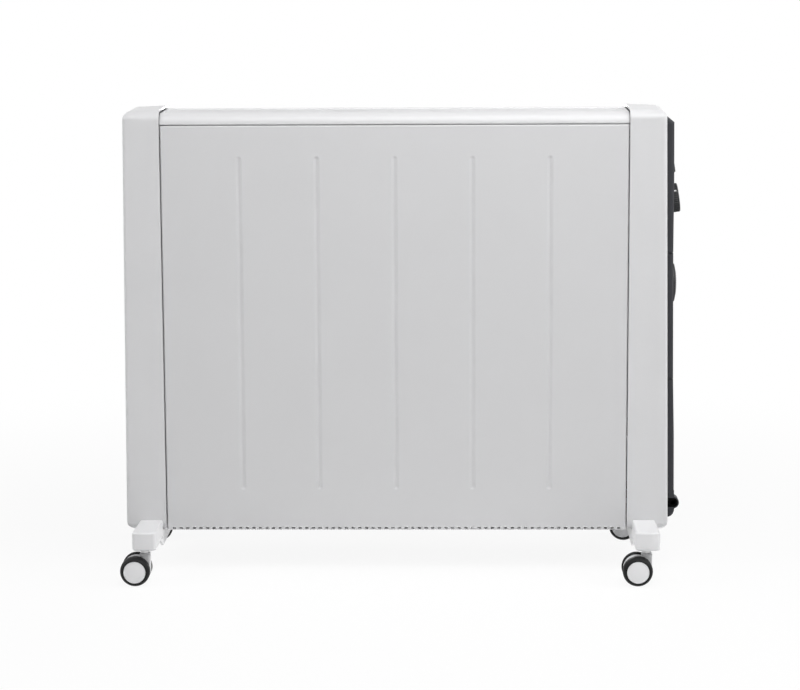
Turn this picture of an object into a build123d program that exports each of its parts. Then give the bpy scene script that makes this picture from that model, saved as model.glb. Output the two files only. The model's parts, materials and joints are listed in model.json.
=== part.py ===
from build123d import *
import os
from math import atan2, cos, degrees, radians, sin

# Oil filled panel heater on casters. All lengths are in millimetres and all angles in degrees.
# X runs along the heater, Y from its front to its back and Z up. The origin is on the floor,
# midway between the four caster stems.

# Panels: pressed steel pans at the front and the back
SEAM_X = 313.4
SEAM_GAP = 0.9
CASE_DEPTH = 118.0
CASE_BOTTOM = 56.4
PANEL_TOP = 608.5
SHEET = 1.0
BEND = 2.5
PANEL_RETURN = 12.0
BOTTOM_GAP = 6.0
GROOVE_COUNT = 5
GROOVE_PITCH = 104.0
GROOVE_WIDTH = 8.0
GROOVE_DEPTH = 2.0
GROOVE_BOTTOM = 112.0
GROOVE_TOP = 568.0
VENT_COUNT = 68
VENT_PITCH = 9.05
VENT_WIDTH = 4.4
VENT_LOW = 57.9
VENT_HIGH = 60.3
INTAKE_FROM = 12.0
INTAKE_TO = 46.0

# Top grille: a channel with rounded long edges and a slotted well
RAIL_BOTTOM = 610.0
RAIL_TOP = 624.8
RAIL_RADIUS = 14.0
RAIL_SHEET = 1.2
WELL_HALF = 41.0
WELL_DEPTH = 1.5
SLOT_ROWS = 5
SLOT_ROW_PITCH = 15.5
SLOT_LENGTH = 598.0
SLOT_WIDTH = 9.5
RIB_COUNT = 5
RIB_PITCH = 101.0
RIB_WIDTH = 4.0
RIB_DEPTH = 3.0

# End caps: moulded shells whose outer flank leans out towards the floor
CAP_DEPTH = 120.0
CAP_TOP_INNER = 629.0
CAP_TOP_OUTER = 626.6
CAP_X = 362.9
FLANK_TOP = 611.0
FLANK_LOW = 94.0
FLANK_FLARE = 5.3
CAP_WALL = 2.5
CAP_TOP_RADIUS = 12.0
CAP_BOTTOM_RADIUS = 12.0
CAP_EDGE_RADIUS = 8.0
CAP_SEAM_RADIUS = 1.0
CAP_BOSS_Y = 38.0
CAP_BOSS_HEIGHTS = (88.0, 590.0)
CAP_BOSS_RADIUS = 4.5
WINDOW_HALF = 30.0
WINDOW_LOW = 356.0
WINDOW_HIGH = 572.5
CORD_WAY_RADIUS = 9.0
CORD_WAY_RISE = 20.0

# Screws
SCREW_RADIUS = 1.6
SCREW_HOLE = 1.65
SCREW_LENGTH = 14.0
SCREW_HEAD_RADIUS = 3.5
SCREW_HEAD_HEIGHT = 2.5
FOOT_SCREW_RADIUS = 2.5
FOOT_SCREW_HOLE = 2.8
FOOT_SCREW_HEAD_RADIUS = 6.5
FOOT_SCREW_HEAD_HEIGHT = 5.0
FOOT_SCREW_TIP = 68.0

# End frames: folded plates that carry the core, the panels, the caps and the feet
FRAME_X = 303.0
FRAME_SHEET = 1.5
FRAME_LOW = 60.0
FRAME_HIGH = 604.0
FRAME_EDGE_FLANGE = 6.0
FRAME_FLANGE_HALF = 44.0
FRAME_FOOT_FLANGE = 346.0
FRAME_TOP_FLANGE = 330.0
FRAME_HOLE_GAP = 0.2
FRAME_NUT_RADIUS = 5.0
FRAME_NUT_TOP = 67.0

# Oil core: pressed columns welded to an upper and a lower header
COLUMN_COUNT = 11
COLUMN_PITCH = 52.0
COLUMN_HALF_DEPTH = 50.0
COLUMN_LOW = 78.0
COLUMN_HIGH = 592.0
COLUMN_WEB = 5.0
COLUMN_CORNER = 24.0
CHANNEL_RADIUS = 7.0
CHANNEL_SPACING = 34.0
CORE_SHEET = 1.0
HEADER_LOW = 100.0
HEADER_HIGH = 570.0
HEADER_RADIUS = 20.0
HEADER_END = 272.0
STUB_RADIUS = 10.0
STUB_END = 307.0
FILLER_X = -234.0
FILLER_BOSS_RADIUS = 8.0
FILLER_BOSS_TOP = 594.0
FILLER_HOLE_RADIUS = 5.0
FILLER_PLUG_DEPTH = 8.0
FILLER_HEAD_HEIGHT = 6.0
CUTOUT_Z = 480.0
CUTOUT_RADIUS = 8.0
CUTOUT_THICK = 5.0
CUTOUT_TAB = 7.0

# Heating elements in the lower header
ELEMENT_RADIUS = 4.0
ELEMENT_OFFSET = 6.5
ELEMENT_BEND_X = -240.0
ELEMENT_END_X = 320.0
FLANGE_RADIUS = 31.0
FLANGE_THICK = 6.0
NECK_RADIUS = 15.0

# Terminal block
TERMINAL_DEPTH = 14.0
TERMINAL_HALF = 22.0
TERMINAL_LOW = 180.0
TERMINAL_HIGH = 198.0
TERMINAL_WAYS = 3
TERMINAL_PITCH = 13.0
TERMINAL_SCREW_RADIUS = 2.6
TERMINAL_WIRE_RADIUS = 2.0

# Control side: three covers on the flank of the right end cap
COVER_THICK = 11.15
COVER_WAIST = 10.0
COVER_FIT = 0.2
COVER_HALF = 42.0
COVER_LOW = 70.0
COVER_HIGH = 618.6
COVER_SHOULDER = 609.6
COVER_BOTTOM_RADIUS = 9.0
COVER_EDGE_RADIUS = 5.0
COVER_WALL = 2.3
UPPER_KNEE = 535.0
UPPER_SEAM = 434.0
LOWER_SEAM = 262.0
LOWER_KNEE = 185.0
COVER_SEAM_GAP = 1.4

# Thermostat with a tilted knob
KNOB_FACE_X = 383.8
KNOB_Z = 505.2
KNOB_TILT = 7.8
KNOB_RADIUS = 19.5
KNOB_HEIGHT = 12.0
KNOB_RIBS = 44
KNOB_FACE_RADIUS = 1.2
KNOB_RIB_RADIUS = 0.8
POCKET_GAP = 0.6
POCKET_WALL = 2.2
SPINDLE_RADIUS = 3.0
RUNNING_GAP = 0.05
THERMOSTAT_SIZE = 34.0
THERMOSTAT_DEPTH = 20.0
THERMOSTAT_BORE = 14.0
THERMOSTAT_CORNER = 3.0

# Timer with a toothed dial
TIMER_Z = 388.6
DIAL_RADIUS = 25.8
DIAL_TOP_RADIUS = 16.5
DIAL_RIM = 3.8
DIAL_PROUD = 5.8
DIAL_SUNK = 2.6
DIAL_TEETH = 48
DIAL_TOOTH_GAP = 0.8
TIMER_SIZE = 57.0
TIMER_DEPTH = 26.0
TIMER_BORE = 16.0
TIMER_CORNER = 4.0

# Rocker switches
ROCKER_Z = 553.2
ROCKER_Y = 9.0
ROCKER_HALF_WIDTH = 5.6
ROCKER_RADIUS = 15.1
ROCKER_REST_TILT = 4.5
ROCKER_PIVOT_DEPTH = 6.0
ROCKER_GAP = 0.5
ROCKER_PIN_RADIUS = 1.5
ROCKER_PIN_LENGTH = 1.4
ROCKER_RIM = 2.95
ROCKER_HOLLOW = 1.1
ROCKER_BACK = 3.0
SWITCH_WALL = 1.5
SWITCH_DEPTH = 24.0
SWITCH_CAVITY = 8.0

# Cord outlet in the lower cover
OUTLET_X = 378.1
OUTLET_Z = 90.7
OUTLET_RADIUS = 8.0
OUTLET_WALL = 1.4
OUTLET_BLEND = 4.5
OUTLET_LOW_BLEND = 1.5
OUTLET_BACK = -22.0
MOUTH_RADIUS = 6.4
GLAND_FIT = 0.15
GLAND_FRONT = -41.2
GLAND_BACK = -28.0
CORD_RADIUS = 3.7

# Foot brackets: a cradle under each end cap
FOOT_X = 335.5
FOOT_SHIFT = 1.0
FOOT_HALF = 15.8
FOOT_FRONT_HALF = 16.5
FOOT_FRONT = 144.5
FOOT_BULGE = 2.5
FOOT_BODY = 60.4
FOOT_BOTTOM = 48.0
FOOT_TOP_FRONT = 73.3
FOOT_TOP_BODY = 70.6
FOOT_CORNER = 6.5
FOOT_EDGE = 3.0
SADDLE_HALF = 16.0
SADDLE_LENGTH = 66.0
KEEL_BOTTOM = 36.0
KEEL_HALF_LOW = 62.0
KEEL_HALF_HIGH = 88.0
KEEL_THICK = 3.2
FOOT_SCREW_Y = 30.0

# Casters
STEM_Y = 130.0
STEM_RADIUS = 4.0
STEM_LOW = 29.4
STEM_HEAD_TOP = 31.4
STEM_HIGH = 66.0
STEM_HEAD_RADIUS = 5.2
COLLAR_RADIUS = 5.6
SWIVEL_GAP = 0.3
TRAIL = 12.0
SWIVEL = {"front_left": 0.0, "front_right": 0.0, "rear_left": 8.5, "rear_right": -12.0}
WHEEL_RADIUS = 20.0
WHEEL_INNER = 7.3
WHEEL_OUTER = 22.3
TREAD_FROM = 9.0
TREAD_TO = 14.5
HUB_CAP_RADIUS = 14.8
HUB_CAP_INNER = 20.6
HUB_CAP_RIM = 22.1
HUB_CAP_CROWN = 22.9
HUB_CAP_FIT = 0.15
WHEEL_LIP = 0.7
AXLE_RADIUS = 2.5
AXLE_FIT = 0.02
AXLE_PLAY = 0.35
AXLE_HEAD_RADIUS = 4.4
AXLE_HEAD_FROM = 18.95
AXLE_HEAD_TO = 20.15
HOOD_RADIUS = 18.3
HOOD_HALF = 6.8
HOOD_TOP = 42.7
HOOD_BOTTOM = 6.0
HOOD_NECK_FRONT = 7.5
HOOD_NECK_BACK = -6.5
HOOD_NECK_LOW = 14.0
HOOD_NECK_RADIUS = 1.5

# Worked out from the dimensions above
PANEL_HALF = SEAM_X - SEAM_GAP / 2
CAP_SEAM = SEAM_X + SEAM_GAP / 2
FACE_Y = CASE_DEPTH / 2
FRAME_OUT = FRAME_X + FRAME_SHEET
KNOB_AXIS = Vector(cos(radians(KNOB_TILT)), 0, sin(radians(KNOB_TILT)))
PAST = 1.0


def block(x0, x1, y0, y1, z0, z1):
    """Box between two opposite corners."""
    return Pos((x0 + x1) / 2, (y0 + y1) / 2, (z0 + z1) / 2) * Box(x1 - x0, y1 - y0, z1 - z0)


def rod_x(y, z, radius, x0, x1):
    """Cylinder along X."""
    return Pos((x0 + x1) / 2, y, z) * Rot(0, 90, 0) * Cylinder(radius, x1 - x0)


def rod_y(x, z, radius, y0, y1):
    """Cylinder along Y."""
    return Pos(x, (y0 + y1) / 2, z) * Rot(90, 0, 0) * Cylinder(radius, y1 - y0)


def rod_z(x, y, radius, z0, z1):
    """Cylinder along Z."""
    return Pos(x, y, (z0 + z1) / 2) * Cylinder(radius, z1 - z0)


def spread(count, pitch):
    """Evenly spaced places, centred on zero."""
    return [(i - (count - 1) / 2) * pitch for i in range(count)]


def flank_x(z):
    """X of the outer flank of the right end cap at a height. The flank leans out towards the floor."""
    return CAP_X + FLANK_FLARE * (FLANK_TOP - z) / (FLANK_TOP - FLANK_LOW)


def flank_point(z, offset):
    """Point of the XZ plane at a height, beside the flank by offset."""
    return (flank_x(z) + offset, z)


def extrude_y(sketch, y0, y1):
    """Extrude an XZ sketch from y0 to y1."""
    solid = extrude(Plane.XZ * sketch, (y1 - y0) / 2, both=True)
    return Pos(0, (y0 + y1) / 2, 0) * solid


def edges_at_y(solid, y, x_from):
    """Edges lying in a plane square to Y, beyond an X."""
    return [e for e in solid.edges() if abs(e.center().Y - y) < 0.01 and e.center().X > x_from]


def pan(inset, back):
    """Pan block with rounded front edges, shrunk by inset and reaching back to a Y."""
    solid = block(-PANEL_HALF + inset, PANEL_HALF - inset, -FACE_Y + inset, back,
                  CASE_BOTTOM + inset, PANEL_TOP - inset)
    front = solid.faces().sort_by(Axis.Y)[0]
    return fillet(front.edges(), BEND - inset)


def groove(x, half_width, depth):
    """Upright round-ended bar in the face of the front panel."""
    low = GROOVE_BOTTOM + GROOVE_WIDTH / 2
    high = GROOVE_TOP - GROOVE_WIDTH / 2
    front = -FACE_Y - PAST
    back = -FACE_Y + depth
    bar = block(x - half_width, x + half_width, front, back, low, high)
    for end in (low, high):
        bar += rod_y(x, end, half_width, front, back)
    return bar


def front_panel():
    """Front pan with five pressed grooves, a vented bottom bend and a slotted bottom flange."""
    return_y = -FACE_Y + PANEL_RETURN
    outer = pan(0, return_y)
    shell = outer - pan(SHEET, return_y + PAST)
    floor_top = CASE_BOTTOM + SHEET
    shell += block(-PANEL_HALF, PANEL_HALF, return_y - PAST, -BOTTOM_GAP / 2, CASE_BOTTOM, floor_top)
    for x in spread(GROOVE_COUNT, GROOVE_PITCH):
        pressed = groove(x, GROOVE_WIDTH / 2 + SHEET, GROOVE_DEPTH + SHEET) & outer
        shell = shell + pressed - groove(x, GROOVE_WIDTH / 2, GROOVE_DEPTH)
    vents = []
    for x in spread(VENT_COUNT, VENT_PITCH):
        left = x - VENT_WIDTH / 2
        right = x + VENT_WIDTH / 2
        vents.append(block(left, right, -FACE_Y - PAST, -FACE_Y + BEND, VENT_LOW, VENT_HIGH))
        vents.append(block(left, right, -INTAKE_TO, -INTAKE_FROM, CASE_BOTTOM - PAST, floor_top + PAST))
    return shell - vents


def rear_panel():
    """The same pan turned to face the back."""
    return Rot(0, 0, 180) * front_panel()


def rail(inset):
    """Channel block of the top grille with rounded long edges, shrunk by inset."""
    low = RAIL_BOTTOM - (PAST if inset else 0)
    end = PANEL_HALF + inset
    side = FACE_Y - inset
    solid = block(-end, end, -side, side, low, RAIL_TOP - inset)
    top = solid.faces().sort_by(Axis.Z)[-1]
    return fillet(top.edges().filter_by(Axis.X), RAIL_RADIUS - inset)


def top_grille():
    """Top channel with a shallow well, rows of long air slots and cross ribs under its bars."""
    shell = rail(0) - rail(RAIL_SHEET)
    floor_top = RAIL_TOP - WELL_DEPTH
    edge = WELL_HALF + RAIL_SHEET
    end = PANEL_HALF - 2 * RAIL_SHEET
    shell += block(-PANEL_HALF, PANEL_HALF, -edge, edge, floor_top - RAIL_SHEET, RAIL_TOP)
    shell -= block(-end, end, -WELL_HALF, WELL_HALF, floor_top, RAIL_TOP + PAST)
    radius = SLOT_WIDTH / 2
    half = SLOT_LENGTH / 2 - radius
    slots = []
    for y in spread(SLOT_ROWS, SLOT_ROW_PITCH):
        slots.append(block(-half, half, y - radius, y + radius, RAIL_BOTTOM, RAIL_TOP))
        for end_x in (-half, half):
            slots.append(rod_z(end_x, y, radius, RAIL_BOTTOM, RAIL_TOP))
    shell -= slots
    rib_top = floor_top - RAIL_SHEET / 2
    for x in spread(RIB_COUNT, RIB_PITCH):
        shell += block(x - RIB_WIDTH / 2, x + RIB_WIDTH / 2, -edge, edge, rib_top - RIB_DEPTH, rib_top)
    return shell


def cap_block(inset):
    """Outline of the right end cap as a solid, shrunk by inset and then open past the seam."""
    low = CASE_BOTTOM + inset
    half = CAP_DEPTH / 2 - inset
    seam = CAP_SEAM - (PAST if inset else 0)
    top_inner = (seam, CAP_TOP_INNER - inset)
    outline = make_face(Polyline(flank_point(low, -inset), flank_point(CAP_TOP_OUTER - inset, -inset),
                                 top_inner, (seam, low), close=True))
    corners = outline.vertices().sort_by(Axis.X)[-2:].sort_by(Axis.Y)
    outline = fillet(corners[1], CAP_TOP_RADIUS - inset)
    corner = outline.vertices().filter_by_position(Axis.Y, low - 0.1, low + 0.1).sort_by(Axis.X)[-1]
    outline = fillet(corner, CAP_BOTTOM_RADIUS - inset)
    solid = extrude_y(outline, -half, half)
    rims = edges_at_y(solid, -half, seam + PAST) + edges_at_y(solid, half, seam + PAST)
    return fillet(rims, CAP_EDGE_RADIUS - inset)


def end_cap():
    """End cap shell for the right side, with screw bosses and holes for the foot screws."""
    solid = cap_block(0)
    seam_face = solid.faces().sort_by(Axis.X)[0]
    shell = fillet(seam_face.edges(), CAP_SEAM_RADIUS) - cap_block(CAP_WALL)
    for y in (-CAP_BOSS_Y, CAP_BOSS_Y):
        for z in CAP_BOSS_HEIGHTS:
            shell += rod_x(y, z, CAP_BOSS_RADIUS, FRAME_OUT, flank_x(z) - CAP_WALL / 2)
            shell -= rod_x(y, z, SCREW_HOLE, FRAME_OUT - PAST, FRAME_OUT + SCREW_LENGTH)
    for y in (-FOOT_SCREW_Y, FOOT_SCREW_Y):
        shell -= rod_z(FOOT_X, y, FOOT_SCREW_HOLE, CASE_BOTTOM - PAST, CASE_BOTTOM + CAP_WALL + PAST)
    return shell


def right_end_cap():
    """End cap with the control window and the way in for the cord."""
    inside = CAP_X - 2 * CAP_WALL
    outside = CAP_X + 2 * FLANK_FLARE
    window = block(inside, outside, -WINDOW_HALF, WINDOW_HALF, WINDOW_LOW, WINDOW_HIGH)
    way = rod_x(0, OUTLET_Z + CORD_WAY_RISE, CORD_WAY_RADIUS, inside, outside)
    return end_cap() - window - way


def left_end_cap():
    """Mirror image of the plain end cap."""
    return mirror(end_cap(), Plane.YZ)


def end_frame(lower_hole):
    """Folded plate inside the right end, with header holes and flanges towards the cap."""
    frame = block(FRAME_X, FRAME_OUT, -FACE_Y + SHEET, FACE_Y - SHEET, FRAME_LOW, FRAME_HIGH)
    for side in (-1, 1):
        outer = side * (FACE_Y - SHEET)
        y0, y1 = sorted((outer, outer - side * FRAME_SHEET))
        frame += block(FRAME_X, FRAME_X + FRAME_EDGE_FLANGE, y0, y1, FRAME_LOW, FRAME_HIGH)
    half = FRAME_FLANGE_HALF
    frame += block(FRAME_X, FRAME_FOOT_FLANGE, -half, half, FRAME_LOW, FRAME_LOW + FRAME_SHEET)
    frame += block(FRAME_X, FRAME_TOP_FLANGE, -half, half, FRAME_HIGH - FRAME_SHEET, FRAME_HIGH)
    frame -= rod_x(0, HEADER_HIGH, STUB_RADIUS + FRAME_HOLE_GAP, FRAME_X - PAST, FRAME_OUT + PAST)
    frame -= rod_x(0, HEADER_LOW, lower_hole + FRAME_HOLE_GAP, FRAME_X - PAST, FRAME_OUT + PAST)
    for y in (-CAP_BOSS_Y, CAP_BOSS_Y):
        for z in CAP_BOSS_HEIGHTS:
            frame -= rod_x(y, z, SCREW_HOLE, FRAME_X - PAST, FRAME_OUT + PAST)
    for y in (-FOOT_SCREW_Y, FOOT_SCREW_Y):
        frame += rod_z(FOOT_X, y, FRAME_NUT_RADIUS, FRAME_LOW, FRAME_NUT_TOP)
        frame -= rod_z(FOOT_X, y, FOOT_SCREW_RADIUS + RUNNING_GAP, FRAME_LOW - PAST, FRAME_NUT_TOP + PAST)
    return frame


def casing_screws():
    """Screws from the end frames into the bosses of both end caps."""
    screws = []
    for y in (-CAP_BOSS_Y, CAP_BOSS_Y):
        for z in CAP_BOSS_HEIGHTS:
            head = FRAME_X - SCREW_HEAD_HEIGHT
            screw = rod_x(y, z, SCREW_RADIUS, head, FRAME_X + SCREW_LENGTH)
            screw += rod_x(y, z, SCREW_HEAD_RADIUS, head, FRAME_X)
            screws += [screw, mirror(screw, Plane.YZ)]
    return Compound(screws)


def core_block(inset):
    """Columns and headers of the oil core as one solid, shrunk by inset."""
    low = COLUMN_LOW + inset
    high = COLUMN_HIGH - inset
    depth = COLUMN_HALF_DEPTH - inset
    channel = CHANNEL_RADIUS - inset
    web = COLUMN_WEB / 2 - inset
    plate = block(-web, web, -depth, depth, low, high)
    plate = fillet(plate.edges().filter_by(Axis.X), COLUMN_CORNER - inset)
    column = [plate]
    for y in (-CHANNEL_SPACING, 0, CHANNEL_SPACING):
        column.append(rod_z(0, y, channel, HEADER_LOW, HEADER_HIGH))
        column += [Pos(0, y, z) * Sphere(channel) for z in (HEADER_LOW, HEADER_HIGH)]
    pieces = []
    for x in spread(COLUMN_COUNT, COLUMN_PITCH):
        pieces += [Pos(x, 0, 0) * piece for piece in column]
    header_end = HEADER_END - inset
    core = rod_x(0, HEADER_LOW, HEADER_RADIUS - inset, -header_end, header_end)
    core += rod_x(0, HEADER_HIGH, HEADER_RADIUS - inset, -header_end, header_end)
    return core + pieces


def oil_core():
    """Hollow welded core with three support stubs, the element port and the filler boss."""
    core = core_block(0)
    core += rod_z(FILLER_X, 0, FILLER_BOSS_RADIUS, HEADER_HIGH, FILLER_BOSS_TOP)
    for x0, x1 in ((-STUB_END, -HEADER_END), (HEADER_END, STUB_END)):
        core += rod_x(0, HEADER_HIGH, STUB_RADIUS, x0, x1)
    core += rod_x(0, HEADER_LOW, STUB_RADIUS, -STUB_END, -HEADER_END)
    core -= core_block(CORE_SHEET)
    core -= rod_x(0, HEADER_LOW, HEADER_RADIUS - CORE_SHEET, 0, HEADER_END + PAST)
    return core - rod_z(FILLER_X, 0, FILLER_HOLE_RADIUS, HEADER_HIGH, FILLER_BOSS_TOP + PAST)


def oil_filler_plug():
    """Hexagon-headed plug in the filler boss of the upper header."""
    hexagon = Pos(FILLER_X, 0, FILLER_BOSS_TOP) * RegularPolygon(FILLER_BOSS_RADIUS, 6)
    head = extrude(hexagon, FILLER_HEAD_HEIGHT)
    tip = FILLER_BOSS_TOP - FILLER_PLUG_DEPTH
    return head + rod_z(FILLER_X, 0, FILLER_HOLE_RADIUS - RUNNING_GAP, tip, FILLER_BOSS_TOP)


def heating_element():
    """Two U tubes, one above the other, from the element flange to the far end of the header."""
    loops = []
    for z in (HEADER_LOW - ELEMENT_OFFSET, HEADER_LOW + ELEMENT_OFFSET):
        bend = Pos(ELEMENT_BEND_X, 0, z) * Torus(ELEMENT_OFFSET, ELEMENT_RADIUS)
        reach = 2 * HEADER_RADIUS
        loop = bend & block(ELEMENT_BEND_X - reach, ELEMENT_BEND_X, -reach, reach, z - reach, z + reach)
        for y in (-ELEMENT_OFFSET, ELEMENT_OFFSET):
            loop += rod_x(y, z, ELEMENT_RADIUS, ELEMENT_BEND_X, ELEMENT_END_X)
        loops.append(loop)
    return Compound(loops)


def element_flange():
    """Disc that closes the lower header, with a neck through the end frame and four element holes."""
    flange = rod_x(0, HEADER_LOW, FLANGE_RADIUS, HEADER_END, HEADER_END + FLANGE_THICK)
    flange += rod_x(0, HEADER_LOW, NECK_RADIUS, HEADER_END, STUB_END)
    for z in (HEADER_LOW - ELEMENT_OFFSET, HEADER_LOW + ELEMENT_OFFSET):
        for y in (-ELEMENT_OFFSET, ELEMENT_OFFSET):
            flange -= rod_x(y, z, ELEMENT_RADIUS + RUNNING_GAP, HEADER_END - PAST, STUB_END + PAST)
    return flange


def thermal_cutout():
    """Round cut-out on the outer face of the last column."""
    face = spread(COLUMN_COUNT, COLUMN_PITCH)[-1] + CHANNEL_RADIUS
    top = face + CUTOUT_THICK
    body = rod_x(0, CUTOUT_Z, CUTOUT_RADIUS, face, top)
    for y in (-CUTOUT_RADIUS / 2, CUTOUT_RADIUS / 2):
        body += Pos(top + CUTOUT_TAB / 2, y, CUTOUT_Z) * Box(CUTOUT_TAB, FRAME_SHEET, CUTOUT_RADIUS)
    return body


def terminal_block():
    """Three-way terminal block on the right end frame."""
    middle = FRAME_OUT + TERMINAL_DEPTH / 2
    top = FRAME_OUT + TERMINAL_DEPTH
    screw_z = (TERMINAL_LOW + TERMINAL_HIGH) / 2
    body = block(FRAME_OUT, top, -TERMINAL_HALF, TERMINAL_HALF, TERMINAL_LOW, TERMINAL_HIGH)
    for y in spread(TERMINAL_WAYS, TERMINAL_PITCH):
        body -= rod_x(y, screw_z, TERMINAL_SCREW_RADIUS, middle, top + PAST)
        body -= rod_z(middle, y, TERMINAL_WIRE_RADIUS, TERMINAL_LOW - PAST, TERMINAL_HIGH + PAST)
    return body


def cover_outline(inset):
    """XZ outline of the three covers of the control side together, shrunk by inset."""
    low = COVER_LOW + inset
    high = COVER_HIGH - 1.5 * inset
    shoulder = COVER_SHOULDER - 0.4 * inset
    fit = COVER_FIT - (PAST if inset else 0)
    thick = COVER_THICK - inset
    waist = COVER_WAIST - inset
    outline = make_face(Polyline(flank_point(low, fit), flank_point(high, fit), flank_point(shoulder, thick),
                                 flank_point(UPPER_KNEE, thick), flank_point(UPPER_SEAM, waist),
                                 flank_point(LOWER_SEAM, waist), flank_point(LOWER_KNEE, thick),
                                 flank_point(low, thick), close=True))
    return fillet(outline.vertices().sort_by(Axis.X)[-1], COVER_BOTTOM_RADIUS - inset)


def cover_face_x(z):
    """X of the outer face of the covers at a height: they are thinner between the two seams."""
    above = (z - UPPER_SEAM) / (UPPER_KNEE - UPPER_SEAM)
    below = (LOWER_SEAM - z) / (LOWER_SEAM - LOWER_KNEE)
    share = min(max(above, below, 0), 1)
    return flank_x(z) + COVER_WAIST + share * (COVER_THICK - COVER_WAIST)


def cover_block(inset):
    """The three covers together as one solid with rounded front and back edges, shrunk by inset."""
    half = COVER_HALF - inset
    solid = extrude_y(cover_outline(inset), -half, half)
    rims = []
    for y in (-half, half):
        for edge in edges_at_y(solid, y, CAP_X):
            middle = edge.position_at(0.5)
            if middle.X > flank_x(middle.Z) + 2 * COVER_FIT:
                rims.append(edge)
    return fillet(rims, COVER_EDGE_RADIUS - inset)


def cover_slab(z0, z1):
    """Block that takes in the covers between two heights."""
    half = COVER_HALF + PAST
    return block(CAP_X - COVER_THICK, CAP_X + 3 * COVER_THICK, -half, half, z0, z1)


def cover_cavity(z0, z1):
    """Hollow of a cover between two heights."""
    return cover_block(COVER_WALL) & cover_slab(z0 + COVER_WALL, z1 - COVER_WALL)


def cover(z0, z1):
    """One hollow cover between two heights, open towards the end cap."""
    return (cover_block(0) & cover_slab(z0, z1)) - cover_cavity(z0, z1)


def knob_frame(along):
    """Location on the knob axis, measured outwards from the middle of the knob's face."""
    centre = Vector(KNOB_FACE_X, 0, KNOB_Z) + KNOB_AXIS * along
    return Plane(origin=centre, x_dir=(0, 1, 0), z_dir=KNOB_AXIS).location


def knob_rod(radius, along0, along1):
    """Cylinder on the knob axis between two places along it."""
    return knob_frame((along0 + along1) / 2) * Cylinder(radius, along1 - along0)


def control_panel():
    """Upper cover with a tilted pocket for the knob and two windows for the rockers."""
    floor = -KNOB_HEIGHT - POCKET_GAP
    pocket = KNOB_RADIUS + POCKET_GAP
    cup = knob_rod(pocket + POCKET_WALL, floor - POCKET_WALL, KNOB_HEIGHT) & cover_block(0)
    panel = cover(UPPER_SEAM + COVER_SEAM_GAP / 2, COVER_HIGH + PAST) + cup
    panel -= knob_rod(pocket, floor, KNOB_HEIGHT)
    panel -= knob_rod(SPINDLE_RADIUS + POCKET_GAP, floor - 2 * POCKET_WALL, 0)
    face = cover_face_x(ROCKER_Z)
    half_width = ROCKER_HALF_WIDTH + ROCKER_GAP
    for y in (-ROCKER_Y, ROCKER_Y):
        panel -= block(face - 2 * COVER_WALL, face + PAST, y - half_width, y + half_width,
                       ROCKER_Z - ROCKER_RADIUS, ROCKER_Z + ROCKER_RADIUS)
    return panel


def thermostat():
    """Thermostat behind the knob's pocket, bored for its spindle."""
    top = -KNOB_HEIGHT - POCKET_GAP - POCKET_WALL - COVER_FIT
    body = knob_frame(top - THERMOSTAT_DEPTH / 2) * Box(THERMOSTAT_SIZE, THERMOSTAT_SIZE, THERMOSTAT_DEPTH)
    body = fillet([e for e in body.edges() if abs(e.length - THERMOSTAT_DEPTH) < 0.1], THERMOSTAT_CORNER)
    return body - knob_rod(SPINDLE_RADIUS + RUNNING_GAP, top - THERMOSTAT_BORE, top + PAST)


def thermostat_spindle():
    """Shaft from the thermostat into the knob."""
    return knob_rod(SPINDLE_RADIUS, -KNOB_HEIGHT - THERMOSTAT_BORE, -KNOB_HEIGHT / 3)


def thermostat_knob():
    """Round knob with a ribbed side and a rounded face edge."""
    knob = knob_rod(KNOB_RADIUS, -KNOB_HEIGHT, 0)
    knob = fillet(knob.edges().filter_by(GeomType.CIRCLE).sort_by(Axis.X)[-1], KNOB_FACE_RADIUS)
    length = KNOB_HEIGHT - KNOB_FACE_RADIUS
    grooves = []
    for i in range(KNOB_RIBS):
        turn = Rot(0, 0, 360 * i / KNOB_RIBS) * Pos(KNOB_RADIUS + KNOB_RIB_RADIUS / 3, 0, 0)
        grooves.append(knob_frame(-KNOB_HEIGHT + length / 2) * turn * Cylinder(KNOB_RIB_RADIUS, length))
    knob -= grooves
    return knob - knob_rod(SPINDLE_RADIUS + RUNNING_GAP, -KNOB_HEIGHT - PAST, -KNOB_HEIGHT / 4)


def timer_face():
    """X of the timer panel's face at the middle of the dial."""
    return cover_face_x(TIMER_Z)


def timer_panel():
    """Middle cover with a round pocket for the dial."""
    face = timer_face()
    floor = face - DIAL_SUNK - POCKET_GAP
    pocket = DIAL_RADIUS + POCKET_GAP
    panel = cover(LOWER_SEAM + COVER_SEAM_GAP / 2, UPPER_SEAM - COVER_SEAM_GAP / 2)
    panel += rod_x(0, TIMER_Z, pocket + POCKET_WALL, floor - POCKET_WALL, face + PAST) & cover_block(0)
    panel -= rod_x(0, TIMER_Z, pocket, floor, face + DIAL_PROUD)
    return panel - rod_x(0, TIMER_Z, SPINDLE_RADIUS + POCKET_GAP, floor - 2 * POCKET_WALL, face)


def timer():
    """Timer movement in its box behind the timer panel."""
    front = timer_face() - DIAL_SUNK - POCKET_GAP - POCKET_WALL - COVER_FIT
    half = TIMER_SIZE / 2
    body = block(front - TIMER_DEPTH, front, -half, half, TIMER_Z - half, TIMER_Z + half)
    body = fillet(body.edges().filter_by(Axis.X), TIMER_CORNER)
    return body - rod_x(0, TIMER_Z, SPINDLE_RADIUS + RUNNING_GAP, front - TIMER_BORE, front + PAST)


def timer_spindle():
    """Shaft from the timer movement into the dial."""
    return rod_x(0, TIMER_Z, SPINDLE_RADIUS, timer_face() - TIMER_BORE, timer_face() + PAST)


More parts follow.
